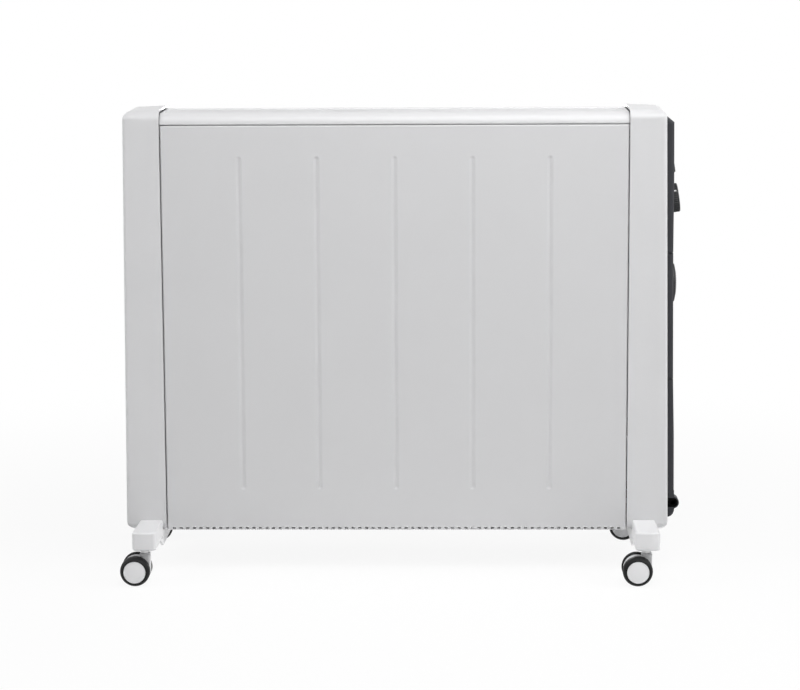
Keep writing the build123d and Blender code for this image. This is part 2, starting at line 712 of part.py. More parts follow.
def timer_dial():
    """Dial with a sloped, toothed rim round a flat middle."""
    base = -DIAL_SUNK
    points = [(0, base), (DIAL_RADIUS, base), (DIAL_RADIUS, DIAL_RIM)]
    points += [(DIAL_TOP_RADIUS, DIAL_PROUD), (0, DIAL_PROUD)]
    dial = revolve(Plane.XZ * make_face(Polyline(*points, close=True)), Axis.Z)
    half_gap = DIAL_TOOTH_GAP / 2
    gap = block(DIAL_TOP_RADIUS + PAST, DIAL_RADIUS + PAST, -half_gap, half_gap,
                DIAL_RIM - PAST, DIAL_PROUD + PAST)
    dial -= [Rot(0, 0, 360 * i / DIAL_TEETH) * gap for i in range(DIAL_TEETH)]
    dial -= rod_z(0, 0, SPINDLE_RADIUS + RUNNING_GAP, base - PAST, DIAL_PROUD / 2)
    return Pos(timer_face(), 0, TIMER_Z) * Rot(0, 90, 0) * dial


def rocker_pivot_x():
    """X of the pivot line of the rockers."""
    return cover_face_x(ROCKER_Z) - ROCKER_PIVOT_DEPTH


def rocker(y):
    """Rocker with round ends about its pivot, a hollow face and two trunnions, its lower end out."""
    rim = ROCKER_PIVOT_DEPTH + ROCKER_RIM
    end = ROCKER_RADIUS + PAST
    points = [(-ROCKER_BACK, -end), (rim, -end), (rim - ROCKER_HOLLOW, 0), (rim, end), (-ROCKER_BACK, end)]
    outline = make_face(Polyline(*points, close=True)) & Circle(ROCKER_RADIUS)
    body = extrude_y(outline, -ROCKER_HALF_WIDTH, ROCKER_HALF_WIDTH)
    pin_end = ROCKER_HALF_WIDTH + ROCKER_PIN_LENGTH
    body += rod_y(0, 0, ROCKER_PIN_RADIUS, -pin_end, pin_end)
    return Pos(rocker_pivot_x(), y, ROCKER_Z) * Rot(0, -ROCKER_REST_TILT, 0) * body


def switch_housing():
    """Twin switch box behind the control panel, with a cavity and a pivot bore for each rocker."""
    pivot = rocker_pivot_x()
    front = cover_face_x(ROCKER_Z) - COVER_WALL - COVER_FIT
    cavity_width = ROCKER_HALF_WIDTH + ROCKER_GAP
    cavity_height = ROCKER_RADIUS + ROCKER_GAP
    half_width = ROCKER_Y + cavity_width + SWITCH_WALL
    half_height = cavity_height + SWITCH_WALL
    back = front - SWITCH_DEPTH
    body = block(back, front, -half_width, half_width, ROCKER_Z - half_height, ROCKER_Z + half_height)
    bore_end = ROCKER_HALF_WIDTH + ROCKER_PIN_LENGTH + ROCKER_GAP
    for y in (-ROCKER_Y, ROCKER_Y):
        body -= block(pivot - SWITCH_CAVITY, front + PAST, y - cavity_width, y + cavity_width,
                      ROCKER_Z - cavity_height, ROCKER_Z + cavity_height)
        body -= rod_y(pivot, ROCKER_Z, ROCKER_PIN_RADIUS + RUNNING_GAP, y - bore_end, y + bore_end)
    return body


def outlet_outline():
    """XZ outline of the cord outlet where it swells out of the covers with soft blends."""
    centre = Vector(OUTLET_X, OUTLET_Z)
    outline = cover_outline(0) + Pos(centre) * Circle(OUTLET_RADIUS)
    for order, radius in ((-1, OUTLET_BLEND), (0, OUTLET_LOW_BLEND)):
        corners = outline.vertices().sort_by(Axis.Y)
        joins = [v for v in corners if abs((Vector(v.X, v.Y) - centre).length - OUTLET_RADIUS) < 0.01]
        outline = fillet(joins[order], radius)
    return outline


def mouth_outline(gap):
    """XZ outline of the cord mouth: a slot from the end cap to a round end, shrunk by gap."""
    radius = MOUTH_RADIUS - gap
    start = flank_x(OUTLET_Z) + COVER_WALL + gap
    slot = Pos((start + OUTLET_X) / 2, OUTLET_Z) * Rectangle(OUTLET_X - start, 2 * radius)
    return slot + Pos(OUTLET_X, OUTLET_Z) * Circle(radius)


def lower_cover():
    """Lower cover with the cord outlet swelling out of its front edge."""
    low = COVER_LOW - PAST
    high = LOWER_SEAM - COVER_SEAM_GAP / 2
    front = -COVER_HALF
    reach = OUTLET_RADIUS + 2 * OUTLET_BLEND
    bump = extrude_y(outlet_outline(), front, OUTLET_BACK)
    bump &= cover_slab(COVER_LOW + COVER_BOTTOM_RADIUS, OUTLET_Z + reach)
    hollow = Pos(OUTLET_X, OUTLET_Z) * Circle(OUTLET_RADIUS - OUTLET_WALL)
    panel = (cover_block(0) & cover_slab(low, high)) + bump
    panel -= cover_cavity(low, high)
    panel -= extrude_y(hollow, front + COVER_WALL, OUTLET_BACK - COVER_WALL)
    return panel - extrude_y(mouth_outline(0), front - PAST, front + 2 * COVER_WALL)


def cord_gland():
    """Slot-shaped gland in the cord mouth, with a bore for the cord."""
    body = extrude_y(mouth_outline(GLAND_FIT), GLAND_FRONT, GLAND_BACK)
    return body - rod_y(OUTLET_X, OUTLET_Z, CORD_RADIUS, GLAND_FRONT - PAST, GLAND_BACK + PAST)


def foot_arm():
    """Front arm of a foot: a block with a curved front, a sloping top and a socket for the stem."""
    front = -FOOT_FRONT
    body_y = -FOOT_BODY
    curve = ThreePointArc((FOOT_FRONT_HALF, front), (0, front - FOOT_BULGE), (-FOOT_FRONT_HALF, front))
    sides = Polyline((-FOOT_FRONT_HALF, front), (-FOOT_HALF, body_y), (FOOT_HALF, body_y),
                     (FOOT_FRONT_HALF, front))
    plan = make_face([curve, sides])
    plan = fillet(plan.vertices().sort_by(Axis.Y)[:2], FOOT_CORNER)
    arm = extrude(Pos(0, 0, FOOT_BOTTOM) * plan, FOOT_TOP_FRONT - FOOT_BOTTOM)
    run = FOOT_FRONT - FOOT_BODY
    slope = degrees(atan2(FOOT_TOP_FRONT - FOOT_TOP_BODY, run))
    above = Box(4 * FOOT_HALF, 2 * FOOT_FRONT, FOOT_BOTTOM)
    arm -= Pos(0, front, FOOT_TOP_FRONT) * Rot(-slope, 0, 0) * Pos(0, 0, FOOT_BOTTOM / 2) * above
    rounded = [e for e in arm.edges() if e.center().Y < body_y - PAST and abs(e.tangent_at(0.5).Z) < 0.5]
    return fillet(rounded, FOOT_EDGE)


def foot_bracket():
    """Foot with its stems on the Y axis: two arms, a saddle under the end cap and two keel ribs."""
    arm = foot_arm()
    foot = arm + mirror(arm, Plane.XZ)
    foot += block(-SADDLE_HALF, SADDLE_HALF, -SADDLE_LENGTH, SADDLE_LENGTH, FOOT_BOTTOM, CASE_BOTTOM)
    rib = make_face(Polyline((-KEEL_HALF_HIGH, FOOT_BOTTOM), (-KEEL_HALF_LOW, KEEL_BOTTOM),
                             (KEEL_HALF_LOW, KEEL_BOTTOM), (KEEL_HALF_HIGH, FOOT_BOTTOM), close=True))
    for x in (-SADDLE_HALF, SADDLE_HALF - KEEL_THICK):
        foot += Pos(x, 0, 0) * extrude(Plane.YZ * rib, KEEL_THICK)
    foot = Pos(FOOT_SHIFT, 0, 0) * foot
    for y in (-STEM_Y, STEM_Y):
        foot -= rod_z(0, y, STEM_RADIUS + RUNNING_GAP, FOOT_BOTTOM - PAST, STEM_HIGH + SWIVEL_GAP)
    for y in (-FOOT_SCREW_Y, FOOT_SCREW_Y):
        foot -= rod_z(0, y, FOOT_SCREW_HOLE, FOOT_BOTTOM - PAST, CASE_BOTTOM + PAST)
    return foot


def foot_screws():
    """Screws with large heads, from under the saddles into the end frames."""
    screws = []
    for x in (-FOOT_X, FOOT_X):
        for y in (-FOOT_SCREW_Y, FOOT_SCREW_Y):
            low = FOOT_BOTTOM - FOOT_SCREW_HEAD_HEIGHT
            screw = rod_z(x, y, FOOT_SCREW_RADIUS, low, FOOT_SCREW_TIP)
            screws.append(screw + rod_z(x, y, FOOT_SCREW_HEAD_RADIUS, low, FOOT_BOTTOM))
    return Compound(screws)


def caster_stems():
    """Four stems fixed in the foot arms, each with a collar and a head that keeps the hood on."""
    stems = []
    for x in (-FOOT_X, FOOT_X):
        for y in (-STEM_Y, STEM_Y):
            stem = rod_z(x, y, STEM_RADIUS, STEM_LOW, STEM_HIGH)
            stem += rod_z(x, y, STEM_HEAD_RADIUS, STEM_LOW, STEM_HEAD_TOP)
            stems.append(stem + rod_z(x, y, COLLAR_RADIUS, HOOD_TOP + SWIVEL_GAP, FOOT_BOTTOM))
    return Compound(stems)


def caster_hood():
    """Hood between the two wheels of a caster, with its stem at the origin and the wheels trailing."""
    hood = rod_y(-TRAIL, WHEEL_RADIUS, HOOD_RADIUS, -HOOD_HALF, HOOD_HALF)
    neck = block(HOOD_NECK_BACK, HOOD_NECK_FRONT, -HOOD_HALF, HOOD_HALF, HOOD_NECK_LOW, HOOD_TOP)
    rims = neck.edges().filter_by(Axis.Z) + neck.faces().sort_by(Axis.Z)[-1].edges()
    hood += fillet(rims, HOOD_NECK_RADIUS)
    hood -= block(-2 * WHEEL_RADIUS, WHEEL_RADIUS, -WHEEL_INNER, WHEEL_INNER, 0, HOOD_BOTTOM)
    hood -= rod_z(0, 0, STEM_RADIUS + RUNNING_GAP, STEM_LOW, HOOD_TOP + PAST)
    hood -= rod_z(0, 0, STEM_HEAD_RADIUS + SWIVEL_GAP, 0, STEM_HEAD_TOP + SWIVEL_GAP)
    return hood - rod_y(-TRAIL, WHEEL_RADIUS, AXLE_RADIUS + AXLE_FIT, -WHEEL_INNER, WHEEL_INNER)


def caster_axle():
    """Axle pin with a riveted head at each end."""
    axle = rod_y(-TRAIL, WHEEL_RADIUS, AXLE_RADIUS, -AXLE_HEAD_TO, AXLE_HEAD_TO)
    for side in (-1, 1):
        ends = sorted((side * AXLE_HEAD_FROM, side * AXLE_HEAD_TO))
        axle += rod_y(-TRAIL, WHEEL_RADIUS, AXLE_HEAD_RADIUS, *ends)
    return axle


def turned(points):
    """Solid of revolution about the axle line from an outline of radius and distance from the stem."""
    return Pos(-TRAIL, 0, WHEEL_RADIUS) * Rot(-90, 0, 0) * revolve(Plane.XZ * make_face(points), Axis.Z)


def caster_wheel():
    """Wheel on the +Y side: bored for the axle, rounded outwards and recessed for its hub cap."""
    bore = AXLE_RADIUS + RUNNING_GAP
    recess = HUB_CAP_RADIUS + HUB_CAP_FIT
    lip = recess + WHEEL_LIP
    head_room = AXLE_HEAD_RADIUS + AXLE_PLAY
    head_seat = AXLE_HEAD_FROM - AXLE_PLAY
    shoulder = WHEEL_RADIUS - (TREAD_FROM - WHEEL_INNER)
    inner_face = Polyline((bore, WHEEL_INNER), (shoulder, WHEEL_INNER), (WHEEL_RADIUS, TREAD_FROM),
                          (WHEEL_RADIUS, TREAD_TO))
    outer_round = TangentArc((WHEEL_RADIUS, TREAD_TO), (lip, WHEEL_OUTER), tangent=(0, 1))
    inside = Polyline((lip, WHEEL_OUTER), (recess, WHEEL_OUTER), (recess, HUB_CAP_INNER),
                      (head_room, HUB_CAP_INNER), (head_room, head_seat), (bore, head_seat),
                      (bore, WHEEL_INNER))
    return turned([inner_face, outer_round, inside])


def hub_cap():
    """Slightly domed disc in the recess of the wheel on the +Y side."""
    rise = HUB_CAP_CROWN - HUB_CAP_RIM
    dome = (HUB_CAP_RADIUS ** 2 + rise ** 2) / (2 * rise)
    disc = rod_y(-TRAIL, WHEEL_RADIUS, HUB_CAP_RADIUS, HUB_CAP_INNER, HUB_CAP_CROWN)
    return disc & Pos(-TRAIL, HUB_CAP_CROWN - dome, WHEEL_RADIUS) * Sphere(dome)


def caster_nodes():
    """Every piece of the four casters at its place, keyed by node name."""
    nodes = {}
    for end, y_sign in (("front", -1), ("rear", 1)):
        for hand, x_sign in (("left", -1), ("right", 1)):
            corner = f"{end}_{hand}"
            place = Pos(x_sign * FOOT_X, y_sign * STEM_Y, 0) * Rot(0, 0, SWIVEL[corner])
            nodes[f"{corner}_caster_hood"] = place * caster_hood()
            nodes[f"{corner}_caster_axle"] = place * caster_axle()
            for side, outward in (("outer", y_sign), ("inner", -y_sign)):
                for piece, shape in (("wheel", caster_wheel()), ("hub_cap", hub_cap())):
                    if outward < 0:
                        shape = mirror(shape, Plane.XZ)
                    nodes[f"{corner}_{side}_{piece}"] = place * shape
    return nodes


def all_nodes():
    """Every piece of the heater, keyed by node name."""
    foot = foot_bracket()
    left_frame = mirror(end_frame(STUB_RADIUS), Plane.YZ)
    nodes = {
        "front_panel": front_panel(),
        "rear_panel": rear_panel(),
        "top_grille": top_grille(),
        "left_end_cap": left_end_cap(),
        "right_end_cap": right_end_cap(),
        "left_end_frame": left_frame,
        "right_end_frame": end_frame(NECK_RADIUS),
        "casing_screws": casing_screws(),
        "oil_core": oil_core(),
        "oil_filler_plug": oil_filler_plug(),
        "heating_element": heating_element(),
        "element_flange": element_flange(),
        "thermal_cutout": thermal_cutout(),
        "terminal_block": terminal_block(),
        "control_panel": control_panel(),
        "timer_panel": timer_panel(),
        "lower_cover": lower_cover(),
        "cord_gland": cord_gland(),
        "thermostat": thermostat(),
        "thermostat_spindle": thermostat_spindle(),
        "thermostat_knob": thermostat_knob(),
        "timer": timer(),
        "timer_spindle": timer_spindle(),
        "timer_dial": timer_dial(),
        "switch_housing": switch_housing(),
        "front_rocker": rocker(-ROCKER_Y),
        "rear_rocker": rocker(ROCKER_Y),
        "left_foot_bracket": Pos(-FOOT_X, 0, 0) * foot,
        "right_foot_bracket": Pos(FOOT_X, 0, 0) * foot,
        "foot_screws": foot_screws(),
        "caster_stems": caster_stems(),
    }
    nodes.update(caster_nodes())
    return nodes


os.makedirs("parts", exist_ok=True)
for name, shape in all_nodes().items():
    export_step(shape, f"parts/{name}.step")
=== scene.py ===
import json
import math

import bmesh
import bpy
import numpy as np
from bpy.props import FloatProperty, FloatVectorProperty, IntProperty, PointerProperty
from mathutils import Matrix, Vector


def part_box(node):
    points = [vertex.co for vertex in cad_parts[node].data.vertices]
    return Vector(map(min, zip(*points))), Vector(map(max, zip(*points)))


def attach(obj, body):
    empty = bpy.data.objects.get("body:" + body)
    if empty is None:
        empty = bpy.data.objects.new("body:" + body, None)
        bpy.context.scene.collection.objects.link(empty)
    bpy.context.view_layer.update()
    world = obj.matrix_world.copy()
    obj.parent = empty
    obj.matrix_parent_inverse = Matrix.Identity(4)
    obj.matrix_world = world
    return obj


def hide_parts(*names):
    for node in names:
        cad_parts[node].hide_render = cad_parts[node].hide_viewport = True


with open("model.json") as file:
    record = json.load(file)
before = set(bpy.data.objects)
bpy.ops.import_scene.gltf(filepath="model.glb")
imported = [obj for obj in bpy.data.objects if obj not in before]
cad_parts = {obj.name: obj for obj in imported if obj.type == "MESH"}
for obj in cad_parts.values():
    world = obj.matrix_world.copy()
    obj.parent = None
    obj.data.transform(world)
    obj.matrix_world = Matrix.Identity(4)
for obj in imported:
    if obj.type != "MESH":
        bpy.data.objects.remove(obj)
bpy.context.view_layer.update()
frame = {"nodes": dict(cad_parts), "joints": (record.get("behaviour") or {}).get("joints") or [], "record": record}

bl_info = {
    "name": "Panel Heater Looks",
    "version": (1, 0, 0),
    "blender": (4, 5, 0),
    "location": "3D View > Sidebar > Heater",
    "description": "Dresses the solids of an oil filled panel heater with pressed shells and painted finishes",
    "category": "Object",
}

CORNERS = ("front_left", "front_right", "rear_left", "rear_right")
PANEL_LOW, PANEL_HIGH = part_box("front_panel")
GRILLE_LOW, GRILLE_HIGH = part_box("top_grille")
CAP_LOW, CAP_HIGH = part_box("right_end_cap")
# How far the skins of a panel and of the top grille close the gap between them, each, in metres.
RAIL_LAP = 0.00035
# Wall between the timer dial's flat middle and its tappets, and depth of the dish in that middle, in metres.
DIAL_WALL = 0.001
DIAL_DISH = 0.0006
# Sides of a turned piece.
TURNED_SIDES = 96
# Points of a mesh that lie nearer than this are one, in metres.
WELD = 1e-6
# Slack when grid lines are compared, and half the thickness of a flat print, in metres.
HAIR = 0.0001


def length(name, description, default):
    """Property for a length in metres."""
    return FloatProperty(name=name, description=description, default=default, subtype="DISTANCE", precision=5)


def colour(name, description, default):
    """Property for a colour."""
    return FloatVectorProperty(name=name, description=description, default=default, subtype="COLOR",
                               min=0.0, max=1.0)


class CasingSizes(bpy.types.PropertyGroup):
    """Sizes of the pressed panels, the top grille and the end caps."""

    panel_half: length("Panel half length", "From the middle of a panel to its side edge", PANEL_HIGH.x)
    panel_face: length("Panel face", "From the middle of the casing to a panel's face", -PANEL_LOW.y)
    panel_low: length("Panel bottom", "Height of a panel's bottom edge", PANEL_LOW.z)
    panel_high: length("Panel top", "Height of a panel's top edge", PANEL_HIGH.z + RAIL_LAP)
    bend: length("Bend radius", "Radius of a panel's folded edges", 0.0025)
    side_return: length("Return", "Depth of a panel's side and top flanges", 0.012)
    bottom_return: length("Bottom return", "Depth of a panel's bottom flange", 0.056)
    intake_from: length("Intake start", "Depth in a panel's bottom flange at which its intake slots start", 0.013)
    intake_to: length("Intake end", "Depth in a panel's bottom flange at which its intake slots end", 0.047)
    sheet: length("Sheet", "Thickness of a panel's steel", 0.001)
    groove_count: IntProperty(name="Grooves", description="Upright grooves pressed into a panel", default=5)
    groove_pitch: length("Groove pitch", "Distance between two grooves", 0.104)
    groove_half: length("Groove half width", "Half the width of a groove", 0.0047)
    groove_depth: length("Groove depth", "How far a groove is pressed in", 0.0017)
    groove_low: length("Groove bottom", "Height of the grooves' lower ends", 0.112)
    groove_high: length("Groove top", "Height of the grooves' upper ends", 0.568)
    vent_count: IntProperty(name="Vents", description="Vents along a panel's bottom bend", default=68)
    vent_pitch: length("Vent pitch", "Distance between two vents", 0.00905)
    vent_width: length("Vent width", "Width of a vent", 0.0044)
    vent_low: length("Vent bottom", "Height of the vents' lower edge above the panel's bottom", 0.0015)
    vent_high: length("Vent top", "Height of the vents' upper edge above the panel's bottom", 0.0039)
    rail_low: length("Rail bottom", "Height of the lower edges of the top grille", GRILLE_LOW.z - RAIL_LAP)
    rail_radius: length("Rail radius", "Radius of the top grille's long edges", 0.014)
    well_half: length("Well half width", "Half the width of the top grille's well", 0.041)
    well_depth: length("Well depth", "How far the top grille's well lies below its rails", 0.0015)
    grille_sheet: length("Grille sheet", "Thickness of the top grille's steel", 0.0012)
    slot_rows: IntProperty(name="Slots", description="Long air slots in the top grille", default=5)
    slot_pitch: length("Slot pitch", "Distance between two slots", 0.0155)
    slot_width: length("Slot width", "Width of a slot", 0.0095)
    slot_length: length("Slot length", "Length of a slot", 0.598)
    rib_count: IntProperty(name="Ribs", description="Cross ribs under the bars of the top grille", default=5)
    rib_pitch: length("Rib pitch", "Distance between two ribs", 0.101)
    rib_width: length("Rib width", "Width of a rib", 0.004)
    rib_depth: length("Rib depth", "Depth of a rib", 0.003)
    seam_gap: length("Seam gap", "Gap between a panel and an end cap", 0.0009)
    cap_top: length("Cap top", "Height of an end cap at its seam", 0.62894)
    cap_wall: length("Cap wall", "Wall of an end cap", 0.0025)
    cap_top_fall: length("Cap fall", "How far the top of an end cap falls towards its outer side", 0.0019)
    cap_flank: length("Cap flank", "From the middle of the heater to the top of an end cap's flank", 0.3629)
    cap_flare: length("Cap flare", "How far an end cap's flank leans out towards the floor", 0.0053)
    flank_top: length("Flank top", "Height at which an end cap's flank has not yet leaned out", 0.611)
    flank_drop: length("Flank drop", "Height over which an end cap's flank leans out", 0.517)
    right_step: length("Right step", "How far the right cap's flank stands out under its covers, at its top", 0.0002)
    right_flare: length("Right flare", "How much further the right cap's flank leans out", 0.0010)
    cap_flank_radius: length("Flank edge", "Edge radius of an end cap along its flank", 0.005)
    cap_top_radius: length("Top edge", "Edge radius of an end cap along its top", 0.0145)
    cap_low_radius: length("Low edge", "Edge radius of an end cap along its bottom", 0.012)
    cap_top_corner: length("Top corner", "Radius of an end cap's upper outer corner", 0.0105)
    cap_low_corner: length("Low corner", "Radius of an end cap's lower outer corner", 0.012)
    window_half: length("Window half width", "Half the width of the right cap's window behind the controls", 0.030)
    window_low: length("Window bottom", "Height of the window's lower edge", 0.356)
    window_high: length("Window top", "Height of the window's upper edge", 0.5725)


class ControlSizes(bpy.types.PropertyGroup):
    """Sizes of the knob, the timer dial and the marks on the control side."""

    knob_radius: length("Knob radius", "Radius of the thermostat knob", 0.0195)
    knob_height: length("Knob height", "Height of the thermostat knob", 0.012)
    knob_edge: length("Knob edge", "Radius of the knob's face edge", 0.0012)
    knob_ribs: IntProperty(name="Knob ribs", description="Scallops round the knob's side", default=44)
    knob_rib: length("Knob rib", "Radius of a scallop in the knob's side", 0.0013)
    pointer_half: length("Pointer half width", "Half the width of the knob's pointer", 0.0010)
    pointer_from: length("Pointer start", "Where the pointer starts on the knob's side, behind its face", 0.0026)
    pointer_to: length("Pointer end", "Where the pointer ends on the knob's side, behind its face", 0.0090)
    pointer_turn: FloatProperty(name="Pointer turn", description="Turn of the pointer above the front at rest",
                                default=math.radians(35.0), subtype="ANGLE")
    scale_marks: IntProperty(name="Scale marks", description="Marks in the ring round the knob", default=15)
    scale_radius: length("Scale radius", "Radius of the ring of marks round the knob", 0.0245)
    scale_sweep: FloatProperty(name="Scale sweep", description="Turn of the last mark from the ring's middle",
                               default=math.radians(140.0), subtype="ANGLE")
    scale_short: length("First mark", "Length of the first mark round the knob", 0.0008)
    scale_long: length("Last mark", "Length of the last mark round the knob", 0.0026)
    scale_half: length("Mark half width", "Half the width of a mark round the knob", 0.00035)
    dial_radius: length("Dial radius", "Outer radius of the timer dial", 0.0258)
    dial_top: length("Dial top", "Radius of the dial's flat middle", 0.0165)
    dial_rim: length("Dial rim", "Height of the dial's outer rim above the cover", 0.0038)
    dial_proud: length("Dial height", "Height of the dial's middle above the cover", 0.0058)
    dial_sunk: length("Dial sunk", "Depth of the dial below the cover's face", 0.0026)
    dial_teeth: IntProperty(name="Tappets", description="Tappets round the timer dial", default=48)
    dial_gap: length("Tappet gap", "Gap between two tappets", 0.0008)
    tappet_height: length("Tappet height", "Height of a tappet above its shelf, at the dial's rim", 0.001)
    hour_from: length("Hour start", "Radius at which an hour's mark on the dial starts", 0.0132)
    hour_long: length("Long hour start", "Radius at which every third hour's mark starts", 0.0122)
    hour_to: length("Hour end", "Radius at which the hours' marks end", 0.0145)
    hour_half: length("Hour half width", "Half the width of an hour's mark", 0.00025)
    number_radius: length("Number radius", "Radius of the ring of numbers on the dial", 0.0101)
    number_size: length("Number size", "Height of a line of the dial's numbers", 0.0032)
    cover_face: length("Cover face", "From the middle of the heater to the control panel's face", 0.37482)
    rocker_rim: length("Rocker face", "From a rocker's pivot to the rim of its face", 0.00895)
    rocker_hollow: length("Rocker hollow", "Depth of the hollow in a rocker's face", 0.0011)
    rocker_end: length("Rocker end", "From a rocker's pivot to the ends of its hollow", 0.0161)
    rocker_mark: length("Rocker mark", "From a rocker's pivot to the middles of its on and off marks", 0.0070)
    rocker_tilt: FloatProperty(name="Rocker tilt", description="Tilt of the rockers at rest",
                               default=math.radians(4.5), subtype="ANGLE")
    print_height: length("Print height", "How far printed marks stand above what carries them", 0.00008)


class CasterSizes(bpy.types.PropertyGroup):
    """Sizes of the caster wheels, measured from the axle line and from the caster's middle plane."""

    wheel_radius: length("Wheel radius", "Radius of a wheel's tread", 0.020)
    bore: length("Bore", "Radius of a wheel's bore", 0.00255)
    inner: length("Inner face", "Distance of a wheel's inner face", 0.0073)
    tread_from: length("Tread start", "Distance at which the tread starts", 0.009)
    tread_to: length("Tread end", "Distance at which the tread ends", 0.0145)
    outer: length("Outer face", "Distance of a wheel's outer face", 0.0223)
    lip: length("Lip", "Radius of the lip round the hub cap", 0.01565)
    recess: length("Recess", "Radius of the hub cap's recess", 0.01495)
    seat: length("Seat", "Distance of the recess's floor", 0.0206)
    head_room: length("Head room", "Radius of the hollow for the axle's head", 0.00475)
    head_seat: length("Head seat", "Distance of the floor of that hollow", 0.0186)
    hub_radius: length("Hub cap radius", "Radius of a hub cap", 0.0148)
    hub_rim: length("Hub cap rim", "Distance of a hub cap's rim", 0.0221)
    hub_crown: length("Hub cap crown", "Distance of a hub cap's crown", 0.02288)


class FinishColours(bpy.types.PropertyGroup):
    """Colours of the heater's finishes in plain light."""

    enamel: colour("Enamel", "White enamel of the panels", (0.70, 0.70, 0.71))
    grille: colour("Grille enamel", "White enamel of the top grille", (0.75, 0.75, 0.76))
    moulding: colour("White moulding", "End caps of the casing and hoods of the casters", (0.73, 0.73, 0.74))
    foot: colour("Foot moulding", "Foot brackets", (0.82, 0.82, 0.83))
    dark: colour("Dark moulding", "Covers of the control side", (0.047, 0.048, 0.053))
    knob: colour("Knob", "Knob and timer dial", (0.034, 0.035, 0.037))
    wheel: colour("Wheel", "Caster wheels", (0.007, 0.007, 0.0075))
    hub_cap: colour("Hub cap", "Hub caps of the caster wheels", (0.88, 0.88, 0.89))
    # Darker than black rubber: this colour also carries painted shade for the deep cord mouth round the gland.
    gland: colour("Gland", "Rubber of the cord gland", (0.004, 0.004, 0.004))
    pointer: colour("Pointer", "Pointer line of the knob", (0.80, 0.80, 0.80))


class Wire:
    """An output socket of a material. Arithmetic on it adds Math nodes to that material."""

    def __init__(self, tree, socket=None):
        self.tree = tree
        self.socket = socket

    def node(self, kind, settings=None, inputs=None, output=0):
        """Adds a node of a type, makes its settings, then gives its sockets values or wires."""
        node = self.tree.nodes.new(kind)
        for key, value in (settings or {}).items():
            setattr(node, key, value)
        for key, value in (inputs or {}).items():
            if isinstance(value, Wire):
                self.tree.links.new(value.socket, node.inputs[key])
            else:
                node.inputs[key].default_value = value
        return Wire(self.tree, node.outputs[output] if len(node.outputs) else None)

    def math(self, operation, *values):
        """Adds a Math node."""
        return self.node("ShaderNodeMath", {"operation": operation}, dict(enumerate(values)))

    def __add__(self, other):
        return self.math("ADD", self, other)

    def __sub__(self, other):
        return self.math("SUBTRACT", self, other)

    def __rsub__(self, other):
        return self.math("SUBTRACT", other, self)

    def __mul__(self, other):
        return self.math("MULTIPLY", self, other)

    __radd__ = __add__
    __rmul__ = __mul__


class Finish:
    """A material in the making: object coordinates, patterns on them and a shader to close it."""

    def __init__(self, name):
        self.material = bpy.data.materials.new(name)
        self.material.use_nodes = True
        tree = self.material.node_tree
        tree.nodes.clear()
        self.wire = Wire(tree)
        self.place = self.wire.node("ShaderNodeTexCoord", output="Object")

    def noise(self, scale, detail=2.0, place=None):
        """Soft noise from 0 to 1 with scale features in a metre."""
        inputs = {"Vector": place or self.place, "Scale": scale, "Detail": detail}
        return self.wire.node("ShaderNodeTexNoise", None, inputs)

    def mix(self, factor, first, second):
        """Colour that goes from first to second as factor goes from 0 to 1."""
        inputs = {0: factor, 6: first, 7: second}
        return self.wire.node("ShaderNodeMix", {"data_type": "RGBA"}, inputs, output=2)

    def bump(self, height, strength, distance):
        """Normal of a surface that a height from 0 to 1 raises by a distance in metres."""
        inputs = {"Height": height, "Strength": strength, "Distance": distance}
        return self.wire.node("ShaderNodeBump", None, inputs)

    def close(self, **inputs):
        """Ends the material with a Principled shader."""
        sockets = {key.replace("_", " ").title().replace("Ior", "IOR"): value for key, value in inputs.items()}
        surface = self.wire.node("ShaderNodeBsdfPrincipled", None, sockets)
        self.wire.node("ShaderNodeOutputMaterial", None, {"Surface": surface})
        return self.material


def tint(rgb, factor=1.0):
    """Colour with alpha, scaled in brightness."""
    return (*(min(channel * factor, 1.0) for channel in rgb), 1.0)


def seen_directly(wire):
    """1 for rays from the camera, off a gloss and through glass, and 0 for all others."""
    camera, gloss, glass = (wire.node("ShaderNodeLightPath", output=f"Is {kind} Ray")
                            for kind in ("Camera", "Glossy", "Transmission"))
    return wire.math("MINIMUM", camera + gloss + glass, 1.0)


def enamel_finish(name, rgb):
    """Stoved enamel: faint cloudiness in the colour, orange peel in the surface."""
    finish = Finish(name)
    cloud = finish.noise(9.0, 3.0)
    peel = finish.noise(520.0, 2.0)
    base = finish.mix(cloud, tint(rgb, 0.985), tint(rgb, 1.015))
    return finish.close(base_color=base, roughness=0.33 + 0.06 * finish.noise(60.0, 3.0),
                        normal=finish.bump(peel, 0.10, 0.0002), coat_weight=0.15, coat_roughness=0.12)


def moulded_finish(name, rgb, roughness, grain, depth, specular=0.5):
    """Moulded plastic: spark-eroded grain in the surface, slight flow marks in colour and gloss."""
    finish = Finish(name)
    flow = finish.noise(14.0, 3.0)
    pores = finish.noise(grain, 3.0)
    base = finish.mix(flow * 0.6 + pores * 0.4, tint(rgb, 0.96), tint(rgb, 1.04))
    return finish.close(base_color=base, roughness=roughness - 0.05 + 0.10 * finish.noise(90.0, 3.0),
                        specular_ior_level=specular, normal=finish.bump(pores, 0.25, depth))


def printed_finish(name, rgb):
    """Printed mark: a moulding's finish with hardly any grain."""
    return moulded_finish(name, rgb, roughness=0.5, grain=900.0, depth=0.00003)


def rolling_finish(name, rgb):
    """Caster wheel: dull black with scuffs and a little pale dust where it rolls."""
    finish = Finish(name)
    scuffs = finish.noise(260.0, 5.0)
    dust = (finish.noise(70.0, 4.0) - 0.5) * 0.06
    low = finish.mix(scuffs, tint(rgb, 0.75), tint(rgb, 1.35))
    base = finish.mix(finish.wire.math("MAXIMUM", dust, 0.0), low, (0.30, 0.29, 0.27, 1.0))
    return finish.close(base_color=base, roughness=0.48 + 0.16 * scuffs, specular_ior_level=0.18,
                        normal=finish.bump(scuffs, 0.2, 0.0001))


